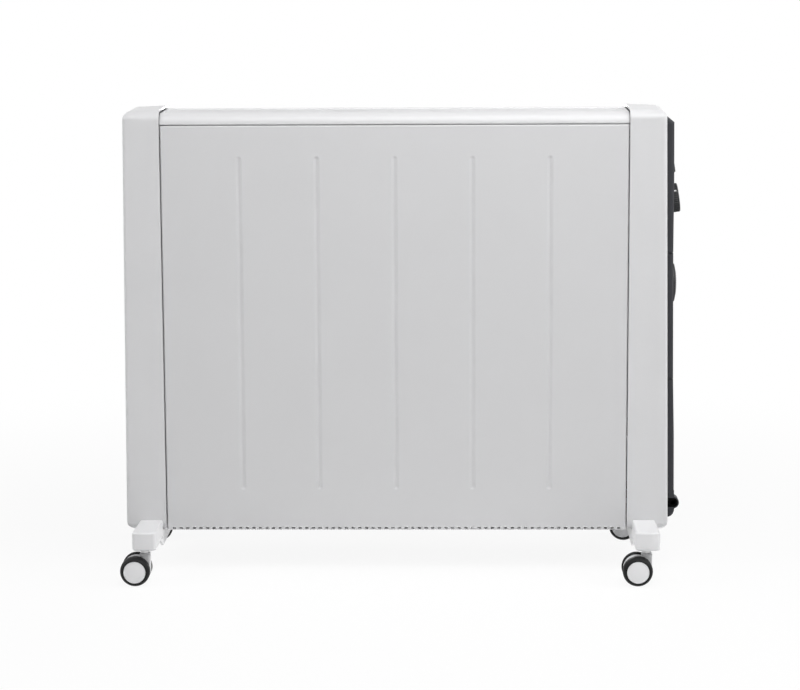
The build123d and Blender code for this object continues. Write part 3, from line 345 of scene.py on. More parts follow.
def metal_finish(name, rgb, roughness, streak):
    """Plated or turned metal: fine streaks in gloss and a mottled plating tone."""
    finish = Finish(name)
    stretch = finish.wire.node("ShaderNodeMapping", None, {"Vector": finish.place, "Scale": (streak, streak, 20.0)})
    streaks = finish.noise(40.0, 3.0, stretch)
    mottle = finish.noise(120.0, 4.0)
    base = finish.mix(mottle, tint(rgb, 0.86), tint(rgb, 1.08))
    return finish.close(base_color=base, metallic=1.0, roughness=roughness + 0.18 * streaks)


def primer_finish(name, rgb):
    """Dipped primer on the oil core: uneven tone with faint runs."""
    finish = Finish(name)
    runs = finish.wire.node("ShaderNodeMapping", None, {"Vector": finish.place, "Scale": (1.0, 1.0, 0.12)})
    base = finish.mix(finish.noise(45.0, 4.0, runs), tint(rgb, 0.80), tint(rgb, 1.18))
    return finish.close(base_color=base, roughness=0.50 + 0.15 * finish.noise(80.0, 3.0))


def sheath_finish(name, rgb):
    """Element sheath: steel with bands of heat tint along its length."""
    finish = Finish(name)
    bands = finish.wire.node("ShaderNodeMapping", None, {"Vector": finish.place, "Scale": (9.0, 60.0, 60.0)})
    base = finish.mix(finish.noise(3.0, 3.0, bands), tint(rgb, 0.7), (0.36, 0.27, 0.16, 1.0))
    return finish.close(base_color=base, metallic=1.0, roughness=0.30 + 0.2 * finish.noise(200.0, 3.0))


def grid_faces(rows, columns, start=0, flip=False):
    """Quads between the points of a grid that is numbered row by row."""
    row, column = np.meshgrid(np.arange(rows - 1), np.arange(columns - 1), indexing="ij")
    first = start + row * columns + column
    quads = np.stack([first, first + 1, first + columns + 1, first + columns], -1).reshape(-1, 4)
    return quads[:, ::-1] if flip else quads


def put_mesh(name, points, faces, material, sharp=40.0):
    """Object at the origin with its place in its mesh, near points welded and edges past an angle sharp."""
    mesh = bpy.data.meshes.new(name)
    mesh.from_pydata(np.asarray(points, float).reshape(-1, 3).tolist(), [], [list(face) for face in faces])
    welded = bmesh.new()
    welded.from_mesh(mesh)
    bmesh.ops.remove_doubles(welded, verts=welded.verts, dist=WELD)
    bmesh.ops.dissolve_degenerate(welded, edges=welded.edges, dist=WELD / 10)
    loose = [vert for vert in welded.verts if not vert.link_faces]
    bmesh.ops.delete(welded, geom=loose, context="VERTS")
    welded.to_mesh(mesh)
    welded.free()
    mesh.shade_smooth()
    mesh.set_sharp_from_angle(angle=math.radians(sharp))
    mesh.materials.append(material)
    piece = bpy.data.objects.new(name, mesh)
    bpy.context.scene.collection.objects.link(piece)
    return piece


def dress(piece, body, slot, *nodes):
    """Ties a piece to its body and lets it stand for CAD nodes, which it hides; the slot is not used."""
    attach(piece, body)
    if nodes:
        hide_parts(*nodes)
    return piece


def thicken(piece, wall):
    """Gives a skin a wall behind it."""
    solidify = piece.modifiers.new("wall", "SOLIDIFY")
    solidify.thickness = wall
    solidify.offset = -1.0
    solidify.use_even_offset = True
    return piece


def soften(piece, width, segments=2):
    """Rounds the sharp edges of a piece."""
    bevel = piece.modifiers.new("edge", "BEVEL")
    bevel.width = width
    bevel.segments = segments
    bevel.limit_method = "ANGLE"
    bevel.angle_limit = math.radians(50.0)
    bevel.harden_normals = True
    return piece


def even_shading(piece):
    """Weighs normals by face area, so that narrow rims do not streak the faces beside them."""
    weights = piece.modifiers.new("shading", "WEIGHTED_NORMAL")
    weights.keep_sharp = True
    return piece


def paint(material, *nodes):
    """Gives CAD nodes a finish."""
    for node in nodes:
        slots = frame["nodes"][node].data.materials
        slots.clear()
        slots.append(material)


def spread(count, pitch):
    """Evenly spaced places, centred on zero."""
    return (np.arange(count) - (count - 1) / 2) * pitch


def lines(keep, extra, gap):
    """Sorted grid lines: all of keep, and those of extra that are not within a gap of a kept one."""
    keep = np.unique(np.round(keep, 7))
    far = np.abs(np.asarray(extra)[:, None] - keep[None, :]).min(1) > gap
    return np.sort(np.concatenate([keep, np.unique(np.round(np.asarray(extra)[far], 7))]))


def round_over(radius, steps):
    """Quarter circle as inset from an edge and fall behind the face, from the face to the edge."""
    angle = np.linspace(0.0, math.pi / 2, steps + 1)
    return radius * (1 - np.sin(angle)), radius * (1 - np.cos(angle))


def groove_depth(x, z, casing):
    """Depth of the pressed grooves: half a cosine wave of the distance from each groove's middle line."""
    middle = (casing.groove_low + casing.groove_high) / 2
    run = (casing.groove_high - casing.groove_low) / 2 - casing.groove_half
    beyond = np.maximum(np.abs(z - middle) - run, 0.0)
    depth = np.zeros_like(x)
    for place in spread(casing.groove_count, casing.groove_pitch):
        reach = np.minimum(np.hypot(x - place, beyond) / casing.groove_half, 1.0)
        depth += casing.groove_depth * 0.5 * (1 + np.cos(math.pi * reach))
    return depth


def panel_skin(casing):
    """Pan on a grid of x lines and z lines. The face is flat but for the grooves, each rim follows a quarter
    circle and then a flange runs back; quads in the vents, the intake slots and the flange corners are left out."""
    bend = casing.bend
    inset, fall = round_over(bend, 5)
    vents = spread(casing.vent_count, casing.vent_pitch)
    vent_edges = np.concatenate([vents - casing.vent_width / 2, vents + casing.vent_width / 2])
    across = np.linspace(-1.0, 1.0, 17) * casing.groove_half
    grooves = (spread(casing.groove_count, casing.groove_pitch)[:, None] + across).ravel()
    face_ends = [bend - casing.panel_half, casing.panel_half - bend]
    face_x = lines(np.concatenate([vent_edges, face_ends]), grooves, 2 * HAIR)
    side_x = casing.panel_half - inset[1:]
    x = np.concatenate([[-casing.panel_half], -side_x[::-1], face_x, side_x, [casing.panel_half]])
    back_x = np.concatenate([[casing.side_return], fall[:0:-1], 0 * face_x, fall[1:], [casing.side_return]])

    low, margin = casing.panel_low, 0.02
    rise = np.array([0.0, casing.vent_low / 5, casing.vent_low, casing.vent_low + HAIR])
    low_z = low + rise
    low_back = bend - np.sqrt(bend ** 2 - (bend - rise) ** 2)
    ends = np.linspace(0.0, 2 * casing.groove_half, 13)
    face_z = np.concatenate([[low + bend, low + casing.vent_high, low + margin], casing.groove_low + ends,
                             np.linspace(casing.groove_low, casing.groove_high, 9)[1:-1],
                             casing.groove_high - ends[::-1],
                             [casing.panel_high - margin, casing.panel_high - bend]])
    flange = np.array([casing.bottom_return, casing.intake_to, casing.intake_from])
    z = np.concatenate([0 * flange + low, low_z, face_z, casing.panel_high - inset[1:], [casing.panel_high]])
    back_z = np.concatenate([flange, low_back, 0 * face_z, fall[1:], [casing.side_return]])

    grid_x, grid_z = np.meshgrid(x, z)
    back = np.maximum(back_x[None, :], back_z[:, None])
    y = back - casing.panel_face + groove_depth(grid_x, grid_z, casing)
    points = np.stack([grid_x, y, grid_z], -1)

    quads = grid_faces(len(z), len(x)).reshape(len(z) - 1, len(x) - 1, 4)
    keep = np.ones(quads.shape[:2], bool)
    middle = (x[1:] + x[:-1]) / 2
    in_vent = np.abs(middle[:, None] - vents[None, :]).min(1) < casing.vent_width / 2 - HAIR
    on_face = (back_x[1:] + back_x[:-1]) == 0
    height = (z[1:] + z[:-1]) / 2 - low
    vent_row = (height > casing.vent_low) & (height < casing.vent_high)
    slot_row = np.arange(len(z) - 1) == 1
    keep &= ~((vent_row | slot_row)[:, None] & (in_vent & on_face)[None, :])
    flange_x = np.maximum(back_x[1:], back_x[:-1]) > bend + HAIR
    flange_z = np.maximum(back_z[1:], back_z[:-1]) > bend + HAIR
    keep &= ~(flange_z[:, None] & flange_x[None, :])
    return points.reshape(-1, 3), quads[keep]


def cap_flank_x(z, casing, right):
    """Distance of a cap's flank from the middle at a height: a straight line that leans out towards the floor."""
    lean = (casing.flank_top - z) / casing.flank_drop
    if right:
        return casing.cap_flank + casing.right_step + (casing.cap_flare + casing.right_flare) * lean
    return casing.cap_flank + casing.cap_flare * lean


def inside_corner(a, t, corner):
    """Distance to the outline of a rounded corner from distances a and t to its two straight edges."""
    beside, under = corner - a, corner - t
    return corner - np.hypot(np.maximum(beside, 0), np.maximum(under, 0)) - np.minimum(np.maximum(beside, under), 0)


def edge_radius(a, t, flank, other):
    """Edge radius that turns smoothly from the flank's to another edge's round the corner between them."""
    turn = np.arctan2(a, t + 1e-9) / (math.pi / 2)
    return flank + (other - flank) * turn ** 2 * (3 - 2 * turn)


def corner_cut(t, corner):
    """How far a rounded corner stands back from its upright edge at a distance t from the other edge."""
    return corner - np.sqrt(corner ** 2 - np.maximum(corner - t, 0) ** 2)


def cap_skin(casing, right):
    """End cap at the right end, with a window if it is the right cap. Its front is a height field over rows that
    follow the top and bottom edges: within an edge radius of the outline, the face falls away along a quarter circle
    of the distance to it, and the radius itself turns from the top's to the flank's round the corner. A band joins
    the outline to the mirrored back."""
    seam = casing.panel_half + casing.seam_gap
    low = CAP_LOW.z
    height = casing.cap_top - low
    ease = 1 - np.cos(np.linspace(0.0, math.pi / 2, 13))
    from_low = casing.cap_low_radius * ease
    from_top = casing.cap_top_radius * ease
    row_heights = np.array([0.10, 0.20, 0.28, casing.window_low, 0.42, 0.50, casing.window_high])
    span = np.linspace(0.0, 1.0, 9)[:-1]
    from_flank = np.array([0.020, 0.0145, 0.011, 0.0085, 0.0067])
    near = np.concatenate([from_flank, casing.cap_flank_radius * ease[::-1]])

    above = np.concatenate([from_low, row_heights - low, height - from_top[::-1]])
    flank = cap_flank_x(low + above, casing, right)
    edge = flank - corner_cut(height - above, casing.cap_top_corner) - corner_cut(above, casing.cap_low_corner)
    inner = edge - near[0]
    x = np.concatenate([seam + span[None, :] * (inner - seam)[:, None], edge[:, None] - near[None, :]], 1)
    fall = casing.cap_top_fall * (x - seam) / (casing.cap_flank - seam)
    z = low + above[:, None] - above[:, None] / height * fall
    a = flank[:, None] - x
    b = np.broadcast_to(above[:, None], x.shape)
    upper = b > height / 2
    t = np.where(upper, height - b, b)
    distance = inside_corner(a, t, np.where(upper, casing.cap_top_corner, casing.cap_low_corner))
    radius = edge_radius(a, t, casing.cap_flank_radius,
                         np.where(upper, casing.cap_top_radius, casing.cap_low_radius))
    distance[0] = 0
    distance[-1] = 0
    distance[:, -1] = 0
    inside = np.clip(radius - distance, 0.0, radius)
    y = radius - np.sqrt(np.maximum(radius ** 2 - inside ** 2, 0.0)) - CAP_HIGH.y

    front = np.stack([x, y, z], -1)
    back = front * (1, -1, 1)
    rows, columns = x.shape
    count = rows * columns
    faces = [grid_faces(rows, columns), grid_faces(rows, columns, count, flip=True)]
    chain = np.concatenate([front[0, :-1], front[:, -1], front[-1, -2::-1]])
    half = np.full(len(chain), casing.window_half)
    across = np.stack([chain[:, 1], -half, half, -chain[:, 1]], 1)
    band = np.stack([np.broadcast_to(chain[:, None, 0], across.shape), across,
                     np.broadcast_to(chain[:, None, 2], across.shape)], -1)
    quads = grid_faces(len(chain), 4, 2 * count).reshape(-1, 3, 4)
    heights = (chain[1:, 2] + chain[:-1, 2]) / 2
    place = np.arange(len(chain) - 1)
    flank_part = (place >= columns - 1) & (place < columns + rows - 2)
    open_row = flank_part & (heights > casing.window_low) & (heights < casing.window_high) & right
    faces += [quads[:, 0], quads[:, 2], quads[~open_row, 1]]
    points = np.concatenate([front.reshape(-1, 3), back.reshape(-1, 3), band.reshape(-1, 3)])
    return points, np.concatenate(faces)


def grille_skin(casing):
    """Top channel: a profile of y and z swept along x lines. The rails are quarter circles, the well is a step down,
    quads in the slots are left out, and the slots' end lines bulge by a half circle."""
    side, top = casing.panel_face, GRILLE_HIGH.z
    inset, fall = round_over(casing.rail_radius, 12)
    radius = casing.slot_width / 2
    across = -np.cos(np.linspace(0.0, math.pi, 11)) * radius
    middles = spread(casing.slot_rows, casing.slot_pitch)
    rail_y = np.concatenate([[-side], inset[::-1] - side, [-casing.well_half]])
    rail_z = np.concatenate([[casing.rail_low], top - fall[::-1], [top]])
    well_y = np.concatenate([[-casing.well_half], (middles[:, None] + across).ravel(), [casing.well_half]])
    y = np.concatenate([rail_y, well_y, -rail_y[::-1]])
    high = np.concatenate([rail_z, np.full(len(well_y), top), rail_z[::-1]])
    in_well = np.concatenate([0 * rail_y, 0 * well_y + 1, 0 * rail_y])
    round_end = np.concatenate([[0.0], np.tile(np.sqrt(radius ** 2 - across ** 2), len(middles)), [0.0]])
    bulge = np.concatenate([0 * rail_y, round_end, 0 * rail_y])

    wall = casing.panel_half - 2 * casing.grille_sheet
    slot_end = casing.slot_length / 2 - radius
    x = np.concatenate([[-casing.panel_half, -wall, -wall, -slot_end], np.linspace(-0.8, 0.8, 9) * slot_end,
                        [slot_end, wall, wall, casing.panel_half]])
    sunk = np.concatenate([[0.0, 0.0], np.ones(len(x) - 4), [0.0, 0.0]])
    reach = np.where(np.isclose(np.abs(x), slot_end), np.sign(x), 0.0)
    grid_x = x[None, :] + bulge[:, None] * reach[None, :]
    grid_z = high[:, None] - casing.well_depth * in_well[:, None] * sunk[None, :]
    points = np.stack([grid_x, np.broadcast_to(y[:, None], grid_x.shape), grid_z], -1)

    quads = grid_faces(len(y), len(x)).reshape(len(y) - 1, len(x) - 1, 4)
    mid_y = (y[1:] + y[:-1]) / 2
    in_slot = (np.abs(mid_y[:, None] - middles[None, :]).min(1) < radius) & (np.abs(mid_y) < casing.well_half)
    between = np.abs(x[1:] + x[:-1]) / 2 < slot_end
    return points.reshape(-1, 3), quads[~(in_slot[:, None] & between[None, :])]


def bars(middles, halves, axes=np.eye(3)):
    """Bars of eight corners each: a middle plus or minus half lengths along three axes."""
    signs = np.array([(-1, -1, -1), (1, -1, -1), (1, 1, -1), (-1, 1, -1),
                      (-1, -1, 1), (1, -1, 1), (1, 1, 1), (-1, 1, 1)])
    sides = np.array([(0, 3, 2, 1), (4, 5, 6, 7), (0, 1, 5, 4), (1, 2, 6, 5), (2, 3, 7, 6), (3, 0, 4, 7)])
    middles = np.atleast_2d(middles)
    reach = signs[None] * np.broadcast_to(halves, middles.shape)[:, None, :]
    axes = np.broadcast_to(axes, (len(middles), 3, 3))
    points = middles[:, None, :] + np.einsum("nck,nkx->ncx", reach, axes)
    return points.reshape(-1, 3), (np.arange(len(middles))[:, None, None] * 8 + sides[None]).reshape(-1, 4)


def turned(radius, height, count):
    """Surface of revolution: a profile of radius and height swept round the height axis. The radius may also vary
    with the angle, as a grid of rows by count + 1 columns."""
    angle = np.linspace(0.0, 2 * math.pi, count + 1)
    radius = np.broadcast_to(np.atleast_2d(radius.T).T, (len(height), count + 1))
    rise = np.broadcast_to(height[:, None], radius.shape)
    points = np.stack([radius * np.cos(angle), radius * np.sin(angle), rise], -1)
    return points.reshape(-1, 3), grid_faces(len(height), count + 1)


def placed(points, origin, across, axis):
    """Points of a local frame, whose third axis is given and whose first is across it, moved to the heater's."""
    third = np.asarray(axis, float) / np.linalg.norm(axis)
    first = np.asarray(across, float)
    first = first - third * first.dot(third)
    first /= np.linalg.norm(first)
    return points @ np.array([first, np.cross(third, first), third]) + np.asarray(origin, float)


def put_placed(name, skin, frame_of, material):
    """Object of a skin, its points and faces, that is worked out in a local frame."""
    points, faces = skin
    return put_mesh(name, placed(points, *frame_of), faces, material)


def arc(start, end, radius, steps):
    """Sine and cosine of angles from start to end in degrees, times a radius."""
    angle = np.radians(np.linspace(start, end, steps + 1))
    return radius * np.sin(angle), radius * np.cos(angle)


def joint(name):
    """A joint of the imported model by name."""
    return next(item for item in frame["joints"] if item["name"] == name)


def knob_skin(controls):
    """Knob turned about its axis from its back to its face. Equal arcs scallop its side and end below the rounded
    edge, and a shallow dish lies in its face."""
    radius, height, edge = controls.knob_radius, controls.knob_height, controls.knob_edge
    count = 8 * controls.knob_ribs
    bend_r, bend_h = arc(90.0, 0.0, edge, 5)
    chamfer, dish_depth, ledge = 0.0005, 0.0003, 0.0006
    dish = np.array([0.0160, 0.0156, 0.0150, 0.0])
    base = np.concatenate([[0.0, radius - chamfer], np.full(3, radius), radius - edge + bend_r, dish])
    rise = np.concatenate([[-height, -height, chamfer - height, -edge - ledge, -edge - HAIR], bend_h - edge,
                           [0.0, -dish_depth / 3, -dish_depth, -dish_depth]])
    cut = np.isin(np.arange(len(base)), (1, 2, 3))
    pitch = 2 * math.pi / controls.knob_ribs
    along = radius * (np.mod(np.arange(count + 1) * pitch / 8, pitch) - pitch / 2)
    rib = controls.knob_rib
    depth = np.maximum(np.sqrt(np.maximum(rib ** 2 - along ** 2, 0.0)) - rib / 3, 0.0)
    return turned(base[:, None] - cut[:, None] * depth[None, :], rise, count)


def pointer_skin(controls):
    """Two bars on one spoke of the knob: one let into its face and one let into its side near the cover."""
    lift, depth, half = 0.00012, 0.0004, controls.pointer_half
    near, far = 0.0085, controls.knob_radius - controls.knob_edge
    start, end = controls.pointer_from, controls.pointer_to
    middles = np.array([(-(near + far) / 2, 0.0, lift - depth),
                        (depth - lift - controls.knob_radius, 0.0, -(start + end) / 2)])
    halves = np.array([((far - near) / 2, half, depth), (depth, half, (end - start) / 2)])
    return bars(middles, halves)


def dial_skin(controls):
    """Body of the timer dial, turned from its back to its face: a ledge that carries the tappets round a raised,
    dished middle."""
    shelf = controls.dial_rim - controls.tappet_height
    rim, flat, back, top = controls.dial_radius, controls.dial_top, -controls.dial_sunk, controls.dial_proud
    wall, chamfer, edge, bevel, dish = flat + DIAL_WALL, 0.0004, 0.0003, 0.0008, DIAL_DISH
    radius = np.array([0.0, rim - chamfer, rim, rim, rim - edge, wall, wall, flat + edge, flat - bevel,
                       flat - bevel - dish, 0.0])
    height = np.array([back, back, back + chamfer, shelf - edge, shelf, shelf, top - bevel, top, top, top - dish,
                       top - dish])
    return turned(radius, height, TURNED_SIDES)


def tappet_skin(controls):
    """Ring of wedges: each has eight corners, at two radii, on both sides of its spoke, on the shelf and on the
    sloping top."""
    near, far = controls.dial_top + DIAL_WALL, controls.dial_radius
    shelf = controls.dial_rim - controls.tappet_height
    slope = (controls.dial_rim - controls.dial_proud) / (controls.dial_radius - controls.dial_top)
    corners, faces = bars(np.zeros((controls.dial_teeth, 3)), (1.0, 1.0, 1.0))
    signs = corners.reshape(controls.dial_teeth, 8, 3)
    radius = np.where(signs[..., 0] > 0, far, near)
    half = (2 * math.pi * radius / controls.dial_teeth - controls.dial_gap) / 2
    aside = signs[..., 1] * half
    top = controls.dial_rim + slope * (radius - controls.dial_radius)
    height = np.where(signs[..., 2] > 0, top, shelf)
    angle = (np.arange(controls.dial_teeth)[:, None] + 0.5) * 2 * math.pi / controls.dial_teeth
    points = np.stack([radius * np.cos(angle) - aside * np.sin(angle),
                       radius * np.sin(angle) + aside * np.cos(angle), height], -1)
    return points.reshape(-1, 3), faces


def spokes(angles, near, far, half, height):
    """Flat bars on a ring: each lies along its spoke, in the plane square to the ring's axis."""
    axes = np.stack([np.stack([np.cos(angles), np.sin(angles), 0 * angles], -1),
                     np.stack([-np.sin(angles), np.cos(angles), 0 * angles], -1),
                     np.broadcast_to((0.0, 0.0, 1.0), (len(angles), 3))], 1)
    near, far = np.broadcast_to(near, angles.shape), np.broadcast_to(far, angles.shape)
    middles = axes[:, 0] * ((near + far) / 2)[:, None] + axes[:, 2] * height[:, None]
    return bars(middles, np.stack([(far - near) / 2, 0 * angles + half, 0 * angles + HAIR], -1), axes)


def wheel_skin(casters):
    """Wheel, turned about its axle: the tread runs into a round shoulder that ends at the lip round the hub cap,
    and behind the lip lie the recess and the bore."""
    run = casters.outer - casters.tread_to
    fall = casters.wheel_radius - casters.lip
    round_radius = (run ** 2 + fall ** 2) / (2 * fall)
    end = math.degrees(math.asin(run / round_radius))
    rise, reach = arc(0.0, end, round_radius, 12)
    tread, inner, bore = casters.wheel_radius, casters.inner, casters.bore
    chamfer = casters.tread_from - inner
    edge, ease = 0.0003, 0.0002
    back_radius = [bore, tread - chamfer - edge, tread - chamfer, tread - edge, tread]
    back_height = [inner, inner, inner + ease, casters.tread_from - 2 * ease, casters.tread_from]
    hub_radius = [casters.recess, casters.recess, casters.head_room, casters.head_room, bore, bore]
    hub_height = [casters.outer, casters.seat, casters.seat, casters.head_seat, casters.head_seat, inner]
    radius = np.concatenate([back_radius, tread - round_radius + reach, hub_radius])
    height = np.concatenate([back_height, casters.tread_to + rise, hub_height])
    return turned(radius, height, TURNED_SIDES)


def hub_cap_skin(casters):
    """Hub cap, turned: a disc with a small rounded rim and a face that is part of a large sphere."""
    rise = casters.hub_crown - casters.hub_rim
    sphere = (casters.hub_radius ** 2 + rise ** 2) / (2 * rise)
    edge, chamfer = 0.0004, 0.0002
    bend_r, bend_h = arc(90.0, 5.0, edge, 4)
    rings = np.array([0.0140, 0.0120, 0.0090, 0.0060, 0.0030, 0.0])
    dome = casters.hub_crown - sphere + np.sqrt(sphere ** 2 - rings ** 2)
    seat, rim = casters.seat, casters.hub_radius
    radius = np.concatenate([[0.0, rim - chamfer, rim], rim - edge + bend_r, rings])
    height = np.concatenate([[seat, seat, seat + chamfer], casters.hub_rim - edge + bend_h, dome])
    return turned(radius, height, TURNED_SIDES)


class HEATER_OT_panels(bpy.types.Operator):
    """Builds the front and rear panels with their pressed grooves and vents."""

    bl_idname = "heater.panels"
    bl_label = "Panels"

    def execute(self, context):
        casing = context.scene.heater_casing
        material = enamel_finish("panel_enamel", context.scene.heater_colours.enamel)
        points, faces = panel_skin(casing)
        for name, turn in (("front_panel", 1.0), ("rear_panel", -1.0)):
            piece = put_mesh(name + "_skin", points * (turn, turn, 1.0), faces, material)
            thicken(piece, casing.sheet)
            even_shading(piece)
            dress(piece, "heater", "white_enamel", name)
        return {"FINISHED"}


class HEATER_OT_end_caps(bpy.types.Operator):
    """Builds the two moulded end caps."""

    bl_idname = "heater.end_caps"
    bl_label = "End caps"

    def execute(self, context):
        casing = context.scene.heater_casing
        white = context.scene.heater_colours.moulding
        material = moulded_finish("cap_moulding", white, roughness=0.36, grain=900.0, depth=0.00006)
        for name, side in (("right_end_cap", 1.0), ("left_end_cap", -1.0)):
            points, faces = cap_skin(casing, right=side > 0)
            piece = put_mesh(name + "_skin", points * (side, 1.0, 1.0), faces[:, ::int(side)], material)
            thicken(piece, casing.cap_wall)
            soften(piece, width=0.0009, segments=3)
            dress(piece, "heater", "white_moulding", name)
        return {"FINISHED"}


class HEATER_OT_grille(bpy.types.Operator):
    """Builds the top grille with its rails, its slotted well and the ribs under its bars."""

    bl_idname = "heater.grille"
    bl_label = "Top grille"

    def execute(self, context):
        casing = context.scene.heater_casing
        material = enamel_finish("grille_enamel", context.scene.heater_colours.grille)
        piece = put_mesh("top_grille_skin", *grille_skin(casing), material)
        soften(piece, width=0.0007, segments=3)
        thicken(piece, casing.grille_sheet)
        even_shading(piece)
        dress(piece, "heater", "grille_enamel", "top_grille")
        places = spread(casing.rib_count, casing.rib_pitch)
        top = GRILLE_HIGH.z - casing.well_depth - casing.grille_sheet / 2
        middles = np.stack([places, 0 * places, 0 * places + top - casing.rib_depth / 2], -1)
        halves = (casing.rib_width / 2, casing.well_half + casing.grille_sheet, casing.rib_depth / 2)
        ribs = put_mesh("grille_ribs", *bars(middles, halves), material)
        dress(soften(ribs, width=0.0005), "heater", "grille_enamel")
        return {"FINISHED"}


class HEATER_OT_knob(bpy.types.Operator):
    """Builds the thermostat knob with its pointer and the ring of marks round it."""

    bl_idname = "heater.knob"
    bl_label = "Thermostat knob"

    def execute(self, context):
        controls = context.scene.heater_controls
        colours = context.scene.heater_colours
        turn = joint("thermostat_turn")
        frame_of = (turn["pos_m"], (0.0, 1.0, 0.0), turn["axis"])
        dark = moulded_finish("knob_moulding", colours.knob, roughness=0.42, grain=1100.0, depth=0.00006)
        pale = printed_finish("pale_print", colours.pointer)
        knob = put_placed("thermostat_knob_skin", knob_skin(controls), frame_of, dark)
        dress(knob, "thermostat_control", "dark_knob", "thermostat_knob")
        across = (0.0, math.cos(controls.pointer_turn), -math.sin(controls.pointer_turn))
        frame_of = (turn["pos_m"], across, turn["axis"])
        pointer = put_placed("knob_pointer", pointer_skin(controls), frame_of, pale)
        dress(pointer, "thermostat_control", "white_moulding")
        angles = np.linspace(-controls.scale_sweep, controls.scale_sweep, controls.scale_marks)
        near = controls.scale_radius
        far = near + np.linspace(controls.scale_short, controls.scale_long, controls.scale_marks)
        frame_of = ((controls.cover_face, 0.0, turn["pos_m"][2]), (0.0, 0.0, 1.0), (1.0, 0.0, 0.0))
        marks = put_placed("knob_scale", spokes(angles, near, far, controls.scale_half, 0 * angles), frame_of, pale)
        dress(marks, "heater", "white_moulding")
        return {"FINISHED"}


class HEATER_OT_dial(bpy.types.Operator):
    """Builds the timer dial with its tappets, hour marks and numbers."""

    bl_idname = "heater.dial"
    bl_label = "Timer dial"

    def execute(self, context):
        controls = context.scene.heater_controls
        colours = context.scene.heater_colours
        turn = joint("timer_turn")
        centre = np.array(turn["pos_m"])
        frame_of = (centre, (0.0, 0.0, 1.0), turn["axis"])
        dark = moulded_finish("dial_moulding", colours.knob, roughness=0.42, grain=1100.0, depth=0.00006)
        lighter = tuple(1.5 * part for part in colours.knob)
        light = moulded_finish("tappet_moulding", lighter, roughness=0.38, grain=1100.0, depth=0.00005)
        pale = printed_finish("dial_print", colours.pointer)
        dial = put_placed("timer_dial_skin", dial_skin(controls), frame_of, dark)
        dress(dial, "timer_control", "dark_knob", "timer_dial")
        tappets = put_placed("timer_tappets", tappet_skin(controls), frame_of, light)
        dress(soften(tappets, width=0.00025, segments=1), "timer_control", "dark_knob")
        hours = np.arange(24)
        angles = hours * 2 * math.pi / 24
        level = controls.dial_proud - DIAL_DISH
        near = np.where(hours % 3 == 0, controls.hour_long, controls.hour_from)
        skin = spokes(angles, near, controls.hour_to, controls.hour_half, 0 * angles + level)
        dress(put_placed("timer_hours", skin, frame_of, pale), "timer_control", "white_moulding")
        for hour in range(3, 25, 3):
            self.number(hour, centre, level + controls.print_height, controls, pale)
        self.index(centre, pale)
        return {"FINISHED"}

    def index(self, centre, material):
        """Adds the mark that the hours are read at: a flat triangle on the cover above the dial, pointing down."""
        base, tip, half, back, front = 0.0295, 0.0272, 0.0016, -0.0005, -0.0002
        outline = np.array([(0.0, -half, base), (0.0, half, base), (0.0, 0.0, tip)]) + centre
        points = np.concatenate([outline + (back, 0.0, 0.0), outline + (front, 0.0, 0.0)])
        sides = [(0, 1, 2), (5, 4, 3), (1, 0, 3, 4), (2, 1, 4, 5), (0, 2, 5, 3)]
        dress(put_mesh("timer_index", points, sides, material), "heater", "white_moulding")

    def number(self, hour, centre, level, controls, material):
        """Adds an hour's number near the rim of the dial's middle, upright when its hour is at the top."""
        text = bpy.data.curves.new(f"hour_{hour:02d}", "FONT")
        text.body = str(hour)
        text.size = controls.number_size
        text.extrude = HAIR / 2
        text.align_x = "CENTER"
        text.align_y = "CENTER"
        text.resolution_u = 2
        text.materials.append(material)
        angle = -2 * math.pi * hour / 24
        up = Vector((0.0, math.sin(angle), math.cos(angle)))
        across = up.cross(Vector((1.0, 0.0, 0.0)))
        turn = Matrix((across, up, (1.0, 0.0, 0.0))).transposed().to_4x4()
        curve = bpy.data.objects.new(text.name, text)
        place = Vector(centre) + up * controls.number_radius + Vector((level, 0.0, 0.0))
        curve.matrix_world = Matrix.Translation(place) @ turn
        bpy.context.scene.collection.objects.link(curve)
        bpy.context.view_layer.update()
        mesh = bpy.data.meshes.new_from_object(curve)
        mesh.transform(curve.matrix_world)
        bpy.data.objects.remove(curve)
        piece = bpy.data.objects.new(f"timer_hour_{hour:02d}", mesh)
        bpy.context.scene.collection.objects.link(piece)
        dress(piece, "timer_control", "white_moulding")


class HEATER_OT_rockers(bpy.types.Operator):
    """Prints the on and off marks of the two rockers."""

    bl_idname = "heater.rockers"
    bl_label = "Rocker marks"

    def execute(self, context):
        controls = context.scene.heater_controls
        pale = printed_finish("rocker_print", context.scene.heater_colours.pointer)
        tilt = controls.rocker_tilt
        out = np.array([math.cos(tilt), 0.0, math.sin(tilt)])
        side = np.array([0.0, 1.0, 0.0])
        up = np.array([-math.sin(tilt), 0.0, math.cos(tilt)])
        place = controls.rocker_mark
        level = controls.rocker_rim - controls.rocker_hollow * (1 - place / controls.rocker_end)
        slope = controls.rocker_hollow / controls.rocker_end
        bar_halves = (HAIR, 0.0004, 0.0018)
        bar_axes = np.array([[out - slope * up, side, up + slope * out]])
        hole, rim = 0.0013, 0.0019
        ring = turned(np.array([hole, rim, rim, hole, hole]), np.array([-HAIR, -HAIR, HAIR, HAIR, -HAIR]), 32)
        for name in ("front_rocker", "rear_rocker"):
            middle = np.array(joint(name + "_tip")["pos_m"]) + out * level
            bar = bars(middle + up * place, bar_halves, bar_axes)
            dress(put_mesh(name + "_on", *bar, pale), name, "white_moulding")
            frame_of = (middle - up * place, side, out + slope * up)
            dress(put_placed(name + "_off", ring, frame_of, pale), name, "white_moulding")
        return {"FINISHED"}


